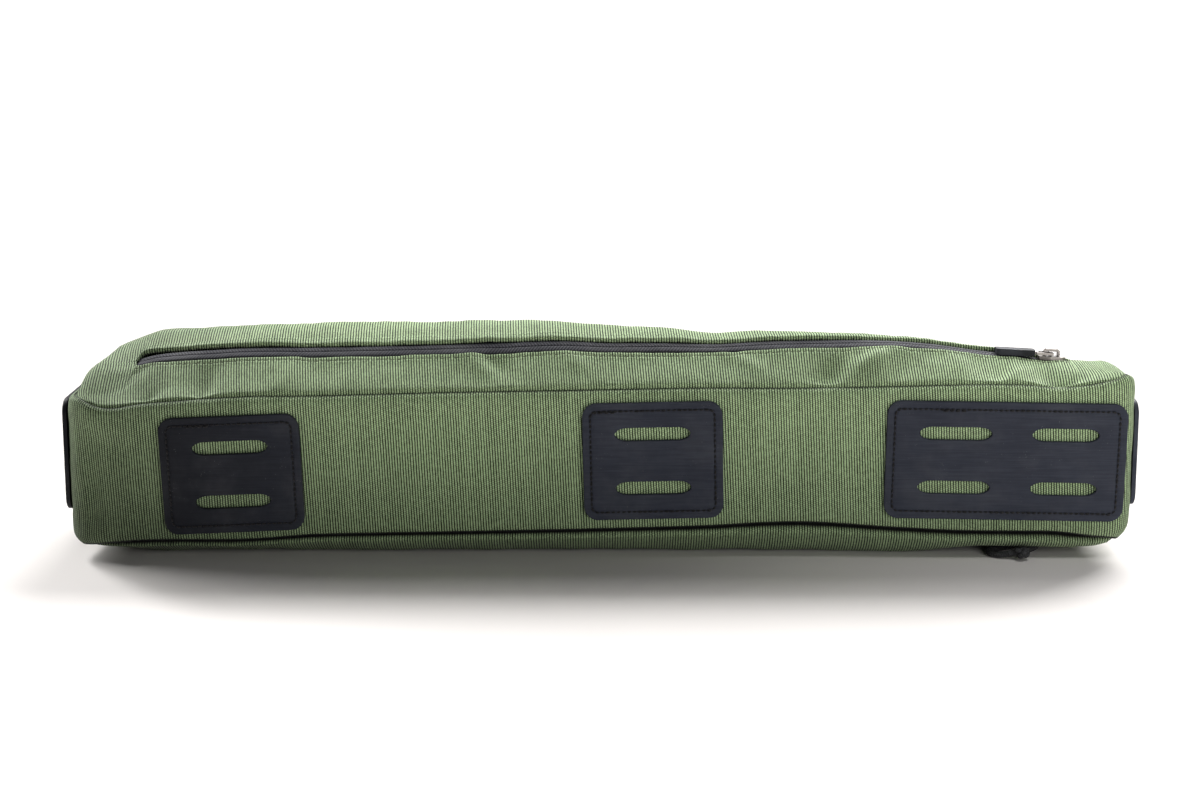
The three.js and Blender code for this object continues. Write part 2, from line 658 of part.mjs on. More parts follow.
// Cord strand along its route
function strand(route) {
  const curve = new THREE.CatmullRomCurve3(route.map(({ x, y, z }) => new THREE.Vector3(x, y, z)));
  const section = new THREE.Shape();
  for (let n = 0; n < CORD.sides; n++) {
    const turn = ((n + 0.5) * 2 * Math.PI) / CORD.sides;
    const point = new THREE.Vector2(Math.cos(turn), Math.sin(turn)).multiplyScalar(CORD.diameter / 2);
    if (n === 0) section.moveTo(point.x, point.y);
    else section.lineTo(point.x, point.y);
  }
  const steps = Math.ceil(curve.getLength() / CORD.step);
  const curveSegments = SEGMENTS.straight;
  return new THREE.ExtrudeGeometry(section, { steps, extrudePath: curve, curveSegments });
}

function knotBody() {
  return new THREE.SphereGeometry(KNOT.radius, KNOT.around, KNOT.down).translate(KNOT.x, KNOT.y, KNOT.z);
}

// Anchor patch in its own plane, with a row of strap slots above and below the middle
function patchShape({ name, wide, tall }) {
  const shape = roundedRectangle(wide, tall, PATCH.corner);
  for (const { at, long } of PATCH_SLOTS[name]) {
    for (const side of [-1, 1]) {
      const slot = new THREE.Path();
      const centre = { x: at, y: (side * PATCH.rows) / 2 };
      const straight = long / 2 - SLOT_HIGH;
      const left = centre.x - straight;
      const right = centre.x + straight;
      const high = SLOT_HIGH / 2;
      slot.moveTo(left, centre.y - high);
      slot.lineTo(right, centre.y - high);
      slot.absellipse(right, centre.y, SLOT_HIGH, high, -Math.PI / 2, Math.PI / 2, false, 0);
      slot.lineTo(left, centre.y + high);
      slot.absellipse(left, centre.y, SLOT_HIGH, high, Math.PI / 2, 1.5 * Math.PI, false, 0);
      shape.holes.push(slot);
    }
  }
  return shape;
}

// Where a patch lies: its edge of the outline as a plane, standing GAP off the gusset
function patchFrame({ edge, along, up, turn }) {
  const from = new THREE.Vector3(CORNERS[edge].x, CORNERS[edge].y, 0);
  const after = CORNERS[(edge + 1) % CORNERS.length];
  const run = new THREE.Vector3(after.x, after.y, 0).sub(from).normalize();
  const out = run.clone().cross(new THREE.Vector3(0, 0, 1));
  const start = edge === EDGE.top ? along - REAR_X : along;
  const place = from.addScaledVector(run, start).addScaledVector(out, GAP).setZ(up);
  const spin = new THREE.Matrix4().makeRotationZ(THREE.MathUtils.degToRad(turn));
  const lie = new THREE.Matrix4().makeBasis(run, new THREE.Vector3(0, 0, 1), out);
  return lie.setPosition(place).multiply(spin);
}

function patchBody(patch) {
  return extruded(patchShape(patch), PATCH.thick, SEGMENTS.patch).applyMatrix4(patchFrame(patch));
}

const upperGrid = panelGrid("upper");
const lowerGrid = panelGrid("lower");
const upperChain = chainFrame(upperGrid, SLIDER_X);
const lowerChain = chainFrame(lowerGrid, LOWER_SLIDER_X);

const bag = new THREE.Group();
bag.name = "frame_bag";

function addPiece(name, geometry, material) {
  const piece = new THREE.Mesh(geometry, material);
  piece.name = name;
  bag.add(piece);
}

addPiece("gusset", gussetBody(), GREEN_CLOTH);
addPiece("upper_panel", panelBody(upperGrid), GREEN_CLOTH);
addPiece("lower_panel", panelBody(lowerGrid), GREEN_CLOTH);
addPiece("upper_zip", zipBody(upperGrid), ZIP_GREY);
addPiece("lower_zip", zipBody(lowerGrid), ZIP_GREY);
addPiece("upper_slider", bridgedSlider().applyMatrix4(upperChain), STEEL);
addPiece("pull_link", pullLink().applyMatrix4(upperChain), STEEL);
addPiece("pull_tab", pullTab().applyMatrix4(upperChain), RUBBER);
addPiece("lower_slider", sliderPlate().applyMatrix4(lowerChain), STEEL);
addPiece("pull_cord_out", strand(CORD_OUT), BLACK_CORD);
addPiece("pull_cord_back", strand(CORD_BACK), BLACK_CORD);
addPiece("pull_knot", knotBody(), BLACK_CORD);
for (const patch of PATCHES) {
  addPiece(patch.name, patchBody(patch), RUBBER);
}

// Origin under the middle of the bag, on the floor
const box = new THREE.Box3().setFromObject(bag);
const middle = box.getCenter(new THREE.Vector3());
for (const piece of bag.children) {
  piece.geometry.translate(-middle.x, -middle.y, -box.min.z);
}

export default bag;
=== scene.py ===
"""Looks of a half-frame bicycle bag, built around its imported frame.

The sewn cloth, zips, strap anchors, pulls and cord are made here as fine meshes in the frame's own place,
in metres. Shapes are worked out in the part's millimetres: x along the top-tube edge, y across the bag, z up
from the floor.
"""
import logging
import math
from dataclasses import dataclass, field
from enum import Enum
from functools import cache
from typing import Callable, Sequence

import bpy
import numpy as np
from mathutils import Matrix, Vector
from mathutils.geometry import delaunay_2d_cdt


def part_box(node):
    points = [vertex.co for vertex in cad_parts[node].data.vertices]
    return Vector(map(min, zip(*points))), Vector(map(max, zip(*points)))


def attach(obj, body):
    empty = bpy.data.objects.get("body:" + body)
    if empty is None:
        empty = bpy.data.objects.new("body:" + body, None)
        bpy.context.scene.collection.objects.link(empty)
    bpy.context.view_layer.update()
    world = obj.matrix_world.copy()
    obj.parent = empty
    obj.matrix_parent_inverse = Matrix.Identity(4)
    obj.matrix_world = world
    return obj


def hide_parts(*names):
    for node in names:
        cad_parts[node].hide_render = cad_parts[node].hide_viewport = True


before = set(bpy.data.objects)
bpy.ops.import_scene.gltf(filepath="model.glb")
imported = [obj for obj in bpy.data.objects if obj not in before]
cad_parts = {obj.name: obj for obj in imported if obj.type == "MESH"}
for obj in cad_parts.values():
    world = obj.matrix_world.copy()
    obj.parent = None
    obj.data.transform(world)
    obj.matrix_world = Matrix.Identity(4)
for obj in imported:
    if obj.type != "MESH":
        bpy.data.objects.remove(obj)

log = logging.getLogger("frame_bag")

Array = np.ndarray
Face = tuple[int, ...]
Span = tuple[float, float]
Triple = tuple[float, float, float]
Piece = bpy.types.Object
Material = bpy.types.Material
Socket = bpy.types.NodeSocket
Tree = bpy.types.NodeTree

BAG = "bag"
MM = 1000


class Level(Enum):
    """The two side panels, by where they lie."""

    UPPER = "upper"
    LOWER = "lower"


class Edge(Enum):
    """The four edges of the plan outline, in turn round the bag."""

    TOP = 0
    FRONT = 1
    LOW = 2
    REAR = 3


# Curves and directions


def column(rows: Sequence[Span]) -> Callable[[Array], Array]:
    """Make a smooth curve through the rows of a table.

    Args:
        rows: Pairs of place and value, in order of place.

    Returns:
        A function that gives the value at each place, held level past the ends.
    """
    place, value = np.array(rows, float).T
    after = np.minimum(np.arange(len(place)) + 1, len(place) - 1)
    before = np.maximum(np.arange(len(place)) - 1, 0)
    slope = (value[after] - value[before]) / (place[after] - place[before])

    def at(x: Array) -> Array:
        """Give the table's value at each place.

        Args:
            x: Places.

        Returns:
            Values.
        """
        held = np.clip(x, place[0], place[-1])
        i = np.clip(np.searchsorted(place, held, "right") - 1, 0, len(place) - 2)
        span = place[i + 1] - place[i]
        t = (held - place[i]) / span
        ease = t * t * (3 - 2 * t)
        lean = slope[i] * t * (1 - t) ** 2 - slope[i + 1] * t * t * (1 - t)
        return value[i] * (1 - ease) + value[i + 1] * ease + lean * span

    return at


def smoothstep(x: Array, low: float, high: float) -> Array:
    """Ease from 0 at low to 1 at high."""
    t = np.clip((x - low) / (high - low), 0, 1)
    return t * t * (3 - 2 * t)


def bell(x: Array, width: float) -> Array:
    """Fall from 1 at 0 to both sides as a bell of a width."""
    return np.exp(-((x / width) ** 2))


def fall(x: Array, reach: float | Array, power: int = 2) -> Array:
    """Fall from 1 at 0 to nothing at a reach and past it."""
    return np.maximum(0, 1 - x / reach) ** power


def unit(vectors: Array, least: float = 1e-9) -> Array:
    """Give vectors the length 1, apart from those shorter than the least length."""
    return vectors / np.maximum(np.linalg.norm(vectors, axis=-1, keepdims=True), least)


def run_along(points: Array) -> Array:
    """Give the run from the first point of a line to each of its points."""
    return np.concatenate([[0], np.cumsum(np.linalg.norm(np.diff(points, axis=0), axis=1))])


def evened(line: Array, step: float, least: int, closed: bool = False) -> Array:
    """Resample a line at even steps.

    Args:
        line: Points along it. A loop ends with its first point.
        step: Usual distance between the new points.
        least: Least number of new points.
        closed: Whether it is a loop, whose new points don't repeat the first.

    Returns:
        The new points.
    """
    run = run_along(line)
    count = max(least, round(run[-1] / step) + (0 if closed else 1))
    wanted = np.linspace(0, run[-1], count, endpoint=not closed)
    return np.stack([np.interp(wanted, run, part) for part in line.T], 1)


PATH_SAMPLES = 16


def smooth_path(points: Sequence[Triple], step: float) -> Array:
    """Resample a curve through points at even steps.

    Args:
        points: Points that the curve goes through.
        step: Distance between the new points.

    Returns:
        Points along the curve.
    """
    p = np.array(points, float)
    p = np.concatenate([[2 * p[0] - p[1]], p, [2 * p[-1] - p[-2]]])
    t = np.linspace(0, 1, PATH_SAMPLES, endpoint=False)[:, None]
    fine = []
    for a, b, c, d in zip(p, p[1:], p[2:], p[3:]):
        square, cube = 2 * a - 5 * b + 4 * c - d, 3 * b - a - 3 * c + d
        fine.append(0.5 * (2 * b + (c - a) * t + square * t**2 + cube * t**3))
    return evened(np.concatenate([*fine, p[-2:-1]]), step, 2)


RIPPLE_WAVES = 9
RIPPLE_SCALES = (0.6, 1.6)
RIPPLE_LEVEL = 3.2


def ripple(u: Array, v: Array, wave: float, seed: int) -> Array:
    """Give a gentle irregular wave over a surface.

    Args:
        u: Places along the cloth.
        v: Places across the cloth.
        wave: Usual length of a wave, in the same unit.
        seed: Fixed seed of the wave's directions and phases.

    Returns:
        Heights mostly within -1 to 1.
    """
    draw = np.random.default_rng(seed)
    total = np.zeros(np.broadcast(u, v).shape)
    for _ in range(RIPPLE_WAVES):
        turn, phase = draw.uniform(0, 2 * math.pi, 2)
        step = 2 * math.pi * draw.uniform(*RIPPLE_SCALES) / wave
        total = total + np.sin(step * (u * math.cos(turn) + v * math.sin(turn)) + phase)
    return total / RIPPLE_LEVEL


@dataclass(frozen=True)
class Waves:
    """Uneven lie of sewn cloth: its broad and fine waves, and its puckers along a seam."""

    broad: float
    broad_length: float
    fine: float
    fine_length: float
    free: Span
    pucker: float
    pucker_length: float
    pucker_drawn: float
    pucker_reach: float
    pucker_start: Span

    def lift(self, u: Array, v: Array, edge: Array, seed: int) -> Array:
        """Work out how far the cloth lifts.

        Args:
            u: Places along the cloth.
            v: Places across the cloth.
            edge: Distances from the nearest seam.
            seed: Fixed seed of the waves.

        Returns:
            Distances off the plain surface.
        """
        broad = self.broad * ripple(u, v, self.broad_length, seed)
        fine = self.fine * ripple(u, v, self.fine_length, seed + 1)
        gathers = ripple(u, self.pucker_drawn * v, self.pucker_length, seed + 2)
        gathers = gathers * np.exp(-np.maximum(edge, 0) / self.pucker_reach)
        gathers = gathers * smoothstep(edge, *self.pucker_start)
        return smoothstep(edge, *self.free) * (broad + fine) + self.pucker * gathers


# Shape of the bag


@dataclass
class Outline:
    """Plan outline of the bag with round corners, counter-clockwise seen from above."""

    # x, y and radius of each corner
    corners: tuple[Triple, ...] = ((-244, 0, 16), (241.5, 0, 9), (237.5, 62, 24), (-236, 128, 30))
    samples: int = 48
    run: Array = field(init=False)
    table: Array = field(init=False)
    marks: list[float] = field(init=False)
    length: float = field(init=False)

    def __post_init__(self) -> None:
        """Lay out the corners and measure the run round them."""
        spots, outs = [], []
        count = len(self.corners)
        for k, (x, y, radius) in enumerate(self.corners):
            here = np.array([x, y])
            back, ahead = (unit(np.array(self.corners[(k + way) % count][:2]) - here) for way in (-1, 1))
            half = math.acos(float(back @ ahead)) / 2
            centre = here + unit(back + ahead) * radius / math.sin(half)
            touch = [here + side * radius / math.tan(half) - centre for side in (back, ahead)]
            first, last = (math.atan2(p[1], p[0]) for p in touch)
            angles = np.linspace(first, last if last > first else last + 2 * math.pi, self.samples)
            out = np.stack([np.cos(angles), np.sin(angles)], 1)
            spots.append(centre + radius * out)
            outs.append(out)
        table = np.concatenate([np.concatenate(spots), np.concatenate(outs)], 1)
        self.table = np.concatenate([table, table[:1]])
        self.run = run_along(self.table[:, :2])
        self.length = float(self.run[-1])
        middles = self.samples * (np.arange(count) + 0.5) - 0.5
        self.marks = np.interp(middles, np.arange(len(self.run)), self.run).tolist()

    def span(self, edge: Edge) -> Span:
        """Give the run at the middles of the two corners of an edge.

        Args:
            edge: Which edge.

        Returns:
            Its start and its end.
        """
        start = self.marks[edge.value]
        end = self.marks[(edge.value + 1) % len(self.marks)]
        return start, end if end > start else end + self.length

    def at_run(self, run: Array) -> tuple[Array, Array]:
        """Give the points and outward directions at runs round the outline.

        Args:
            run: Runs from the start of the outline.

        Returns:
            Plan points and plan directions.
        """
        held = np.mod(run, self.length)
        values = np.stack([np.interp(held, self.run, part) for part in self.table.T], -1)
        return values[..., :2], unit(values[..., 2:])

    def on_edge(self, edge: Edge, share: Array) -> tuple[Array, Array]:
        """Give the points and outward directions at a share of an edge."""
        start, end = self.span(edge)
        return self.at_run(start + np.asarray(share) * (end - start))


@dataclass(frozen=True)
class Fold:
    """A dent or, with a depth below 0, a ridge in cloth: its place, half sizes, turn in degrees and depth."""

    x: float
    d: float
    along: float
    across: float
    turn: float
    depth: float

    def depth_at(self, x: Array, d: Array) -> Array:
        """Give the depth of the fold at places of the cloth.

        Args:
            x: Places along the bag.
            d: Distances from the top seam, or heights on the gusset.

        Returns:
            Depths.
        """
        turn = math.radians(self.turn)
        u = (x - self.x) * math.cos(turn) + (d - self.d) * math.sin(turn)
        v = (d - self.d) * math.cos(turn) - (x - self.x) * math.sin(turn)
        return self.depth * np.exp(-((u / self.along) ** 2) - (v / self.across) ** 2)


@dataclass
class PanelSpots:
    """Places on a side panel, with the seam's height and the distances from each edge."""

    seam: Array
    x: Array
    d: Array
    share: Array
    across: Array
    rear: Array
    front: Array


@dataclass
class BagForm:
    """The slumped, filled form of the bag, which all its pieces follow."""

    outline: Outline = field(default_factory=Outline)
    seam_inset: float = 3.2
    seam_gap: float = 0.28
    low_edge: Span = (76.2, 11.2)
    # x, height of the upper seam and height of the lower seam
    seams: tuple[Triple, ...] = (
        (-242, 76.6, 6.6), (-224, 71.4, 8.8), (-207, 73.5, 10.3), (-162, 76.7, 10.7), (-130, 77.1, 12.9),
        (-73, 78.6, 14.1), (-19, 79.6, 15.2), (44, 80.7, 16.9), (89, 80.7, 18.9), (135, 81.5, 16.2),
        (162, 82.2, 14.8), (190, 82.2, 14.5), (207, 80.9, 14.2), (225, 83.2, 11.3), (242, 88, 9.3),
    )
    # x and rise of the crown over the upper seam
    crown: tuple[Span, ...] = (
        (-244, 13), (-224, 14.2), (-207, 18), (-180, 20), (-132, 22.3), (-78, 23), (-20, 24), (4, 22),
        (50, 21), (116, 19.7), (150, 16.5), (173, 13), (215, 8.2), (242, 6.5),
    )
    crown_peak: float = 0.56
    crown_power: float = 1.8
    crown_end: float = 9
    # Where the lower seam's tuck starts, where it is full, and its depth
    tuck: Triple = (205, 240, 3.5)
    rear_tuck: float = 0.35
    turn_top: float = 30
    turn_low: float = 30
    turn_ends: float = 40
    turn_spare: float = 20
    # x, distance from the top seam, half length, half width and rise of the hollow over the lower pull
    hollow: tuple[float, float, float, float, float] = (192, 20, 36, 18, 7.2)
    outline_reach: float = 30
    # Rise, share of the width and half width of each bulge at the rear end
    rear_bulges: tuple[Triple, ...] = ((3.4, 0.24, 0.14), (-4.5, 0.82, 0.24))
    rear_reach: float = 14
    rear_ease: float = 1.5
    folds: tuple[Fold, ...] = (
        Fold(-208, 5, 12, 9, 70, 1.4), Fold(-182, 12, 14, 9, 80, 1.6), Fold(-50, 12, 14, 8, 60, 1.0),
        Fold(51, 58, 34, 18, 90, 2.4), Fold(105, 6, 11, 8, 0, 2.6), Fold(124, 14, 20, 8, 35, -1.4),
        Fold(174, 12, 14, 9, 70, 1.2), Fold(205, 4, 11, 8, 0, 1.8),
    )

    def __post_init__(self) -> None:
        """Make the curves of the tables."""
        self.front_seam = {
            Level.UPPER: column([(x, high) for x, high, _ in self.seams]),
            Level.LOWER: column([(x, low) for x, _, low in self.seams]),
        }
        self.rise = column(self.crown)
        start, end = self.outline.span(Edge.TOP)
        self.top_run = end - start

    def seam(self, level: Level, x: Array, share: Array) -> Array:
        """Give a seam's height at a share of the way from the top-tube edge to the lower edge."""
        low = self.low_edge[0 if level is Level.UPPER else 1]
        return self.front_seam[level](x) * (1 - share) + low * share

    def inset(self, level: Level, x: Array) -> Array:
        """Give a seam's inset from the plan outline.

        Args:
            level: Which panel's seam.
            x: Places along the bag.

        Returns:
            Insets.
        """
        start, full, extra = self.tuck
        tuck = extra * smoothstep(np.abs(x), start, full) * np.where(x < 0, self.rear_tuck, 1.0)
        return self.seam_inset + (tuck if level is Level.LOWER else 0 * tuck)

    def on_seam(self, level: Level, edge: Edge, share: Array) -> Array:
        """Give the plan points where a panel meets its seam."""
        point, out = self.outline.on_edge(edge, share)
        return point - out * (self.inset(level, point[..., 0]) + self.seam_gap)[..., None]

    def across(self, level: Level, run: Array) -> Array:
        """Give the width of a panel.

        Args:
            level: Which panel.
            run: Runs along its top edge.

        Returns:
            Widths.
        """
        share = run / self.top_run
        wide = self.on_seam(level, Edge.LOW, 1 - share) - self.on_seam(level, Edge.TOP, share)
        return np.linalg.norm(wide, axis=-1)

    def panel(self, level: Level, run: Array, dist: Array) -> Array:
        """Work out the outer surface of a panel.

        Args:
            level: Which panel.
            run: Runs along the top edge, one for each station.
            dist: Distances over the plan from the top seam, a row for each station.

        Returns:
            Points in millimetres, with the shape of dist and 3 coordinates.
        """
        along = run / self.top_run
        tops = self.on_seam(level, Edge.TOP, along)[:, None]
        lows = self.on_seam(level, Edge.LOW, 1 - along)[:, None]
        across = np.linalg.norm(lows - tops, axis=-1)
        share = dist / across
        flat = tops + (lows - tops) * share[..., None]
        ends = ((Edge.REAR, 1 - share, 0.0, run), (Edge.FRONT, share, 1.0, self.top_run - run))
        for edge, edge_share, end, distance in ends:
            top_end = self.on_seam(level, Edge.TOP, np.array(end))
            low_end = self.on_seam(level, Edge.LOW, np.array(1 - end))
            chord = top_end + (low_end - top_end) * share[..., None]
            bow = self.on_seam(level, edge, edge_share) - chord
            flat = flat + bow * fall(distance, self.outline_reach)[:, None, None]
        seam = self.seam(level, self.outline.on_edge(Edge.TOP, along)[0][:, :1], share)
        rear, front = run[:, None], (self.top_run - run)[:, None]
        spots = PanelSpots(seam, flat[..., 0], dist, share, across, rear, front)
        height = self.filled(spots) if level is Level.UPPER else self.resting(spots)
        return np.concatenate([flat, height[..., None]], -1)

    def filled(self, at: PanelSpots) -> Array:
        """Work out the stuffed upper panel.

        Args:
            at: Places on the panel.

        Returns:
            Heights above the floor.
        """
        slope = np.where(at.share < self.crown_peak, self.crown_peak, 1 - self.crown_peak)
        level = 1 - (np.abs(at.share - self.crown_peak) / slope) ** self.crown_power
        ends = (1 - fall(at.rear, self.crown_end)) * (1 - fall(at.front, self.crown_end))
        dents = sum(fold.depth_at(at.x, at.d) for fold in self.folds)
        bulge = sum(rise * bell(at.share - middle, width) for rise, middle, width in self.rear_bulges)
        seam = at.seam + bulge * bell(at.rear, self.rear_reach) * np.minimum(1, at.rear / self.rear_ease)
        return seam + ends * (self.rise(at.x) * level - np.minimum(1, at.d / self.seam_inset) * dents)

    def resting(self, at: PanelSpots) -> Array:
        """Work out the lower panel, flat on the floor inside its turned-up edges.

        Args:
            at: Places on the panel.

        Returns:
            Heights above the floor.
        """
        squeeze = np.minimum(1, (at.across - self.turn_spare) / (self.turn_top + self.turn_low))
        turns = (
            (at.d, self.turn_top * squeeze),
            (at.across - at.d, self.turn_low * squeeze),
            (at.rear, self.turn_ends),
            (at.front, self.turn_ends),
        )
        flat = 1.0
        for run, width in turns:
            flat = flat * (1 - fall(run, width, power=3))
        x, d, along, over, rise = self.hollow
        edges = np.minimum(1, at.d / d) * np.minimum(1, at.front / d) * (1 - at.share)
        room = rise * edges * np.exp(-(((at.x - x) / along) ** 4) - ((at.d - d) / over) ** 2)
        return at.seam * (1 - flat) + room


# Meshes


@dataclass(frozen=True)
class RowFrame:
    """Turns the part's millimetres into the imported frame's metres."""

    shift: Triple

    @classmethod
    def from_anchor(cls, node: str, centre_x: float, face_y: float) -> "RowFrame":
        """Find the frame's origin from a packed strap anchor.

        Args:
            node: Name of the anchor's node.
            centre_x: Its middle in the part's millimetres.
            face_y: Its outer face in the part's millimetres.

        Returns:
            The frame.
        """
        low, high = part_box(node)
        return cls(((low.x + high.x) / 2 * MM - centre_x, low.y * MM - face_y, 0.0))

    def metres(self, points: Array) -> Array:
        """Give points of the part in the frame's metres."""
        return (np.asarray(points, float) + np.array(self.shift)) / MM


ANCHOR_GAP = 0.4
ANCHOR_THICK = 2.0
MIDDLE_ANCHOR_X = 23.0
ROW = RowFrame.from_anchor("anchor_patch_middle", MIDDLE_ANCHOR_X, -(ANCHOR_GAP + ANCHOR_THICK))


def surface_normals(points: Array) -> Array:
    """Give unit normals of a grid of points, along the rows crossed with over the rows."""
    return unit(np.cross(np.gradient(points, axis=0), np.gradient(points, axis=1)))


def every_cell(i: int, j: int) -> bool:
    """Keep every cell of a grid."""
    return True


def grid_faces(
    count: int, rows: int, keep: Callable[[int, int], bool] = every_cell, wrap: bool = False
) -> list[Face]:
    """List the quads of a grid.

    Args:
        count: Stations along the grid.
        rows: Points at each station.
        keep: Says which cells exist.
        wrap: Whether the last station joins the first.

    Returns:
        Faces as corner numbers.
    """
    faces = []
    for i in range(count if wrap else count - 1):
        here, after = i * rows, ((i + 1) % count) * rows
        for j in range(rows - 1):
            if keep(i, j):
                faces.append((here + j, after + j, after + j + 1, here + j + 1))
    return faces


def turned_over(faces: list[Face]) -> list[Face]:
    """Turn faces to point the other way."""
    return [tuple(reversed(f)) for f in faces]


def add_object(name: str, data: bpy.types.ID) -> Piece:
    """Put a new object in the scene.

    Args:
        name: Its name.
        data: Its mesh, light or camera.

    Returns:
        The object.
    """
    made = bpy.data.objects.new(name, data)
    bpy.context.scene.collection.objects.link(made)
    return made


def make_mesh(name: str, points: Array, faces: list[Face], uv: Array | None = None) -> bpy.types.Mesh:
    """Make a smooth mesh.

    Args:
        name: Its name.
        points: Points in metres.
        faces: Faces as corner numbers.
        uv: A pair of numbers for each point, for patterns that follow the cloth.

    Returns:
        The mesh.
    """
    mesh = bpy.data.meshes.new(name)
    mesh.from_pydata(points.tolist(), [], faces)
    if uv is not None:
        layer = mesh.uv_layers.new(name="cloth")
        corners = np.empty(len(mesh.loops), np.int32)
        mesh.loops.foreach_get("vertex_index", corners)
        layer.data.foreach_set("uv", np.asarray(uv, np.float32)[corners].ravel())
    mesh.polygons.foreach_set("use_smooth", np.full(len(mesh.polygons), True))
    mesh.validate()
    mesh.update()
    return mesh


def make_sheet(
    name: str,
    outer: Array,
    inner: Array,
    faces: list[Face],
    uv: Array | None = None,
    tuck: Array | None = None,
) -> Piece:
    """Make a closed wall of cloth or sheet with its rims.

    Args:
        name: Name of the piece.
        outer: Points of the outer side, in the part's millimetres.
        inner: Points of the inner side, in the same order.
        faces: Faces of the outer side.
        uv: A pair of millimetres for each point, for patterns that follow the cloth.
        tuck: How far each point lies tucked into a seam, from 0 to 1, which sets the cloth's painted seam
            shade.

    Returns:
        The piece.
    """
    outer, inner = outer.reshape(-1, 3), inner.reshape(-1, 3)
    size = len(outer)
    edges = {(a, b) for f in faces for a, b in zip(f, f[1:] + f[:1])}
    walls = [(b, a, a + size, b + size) for a, b in edges if (b, a) not in edges]
    back = [tuple(v + size for v in f) for f in turned_over(faces)]
    both_uv = None if uv is None else np.tile(uv.reshape(-1, 2) / MM, (2, 1))
    points = ROW.metres(np.concatenate([outer, inner]))
    mesh = make_mesh(name, points, faces + back + sorted(walls), both_uv)
    if tuck is not None:
        values = np.tile(tuck.ravel(), 2).astype(np.float32)
        mesh.attributes.new("tuck", "FLOAT", "POINT").data.foreach_set("value", values)
    return add_object(name, mesh)


ODD_DIRECTION = (0.31, 0.52, 0.79)
TAPER = 0.55
TAPER_RINGS = 2


def tube(path: Array, radius: float, sides: int, taper: bool = False) -> tuple[Array, list[Face]]:
    """Make a closed round tube along a path.

    Args:
        path: Points along its middle.
        radius: Its radius.
        sides: Faces round it.
        taper: Whether its ends are drawn in.

    Returns:
        Points and faces.
    """
    tangent = unit(np.gradient(path, axis=0))
    side = np.cross(tangent[0], ODD_DIRECTION)
    turn = np.arange(sides) * 2 * math.pi / sides
    rings = []
    for k, (point, along) in enumerate(zip(path, tangent)):
        side = unit(side - along * (side @ along))
        over = np.cross(along, side)
        end = min(k, len(path) - 1 - k)
        grow = radius * (TAPER + (1 - TAPER) * min(1, end / TAPER_RINGS)) if taper else radius
        rings.append(point + grow * (np.cos(turn)[:, None] * side + np.sin(turn)[:, None] * over))
    count = len(path)
    faces: list[Face] = []
    for i in range(count - 1):
        for j in range(sides):
            m = (j + 1) % sides
            faces.append((i * sides + j, i * sides + m, (i + 1) * sides + m, (i + 1) * sides + j))
    faces.append(tuple(reversed(range(sides))))
    faces.append(tuple(range((count - 1) * sides, count * sides)))
    return np.concatenate(rings), faces


# Node graphs


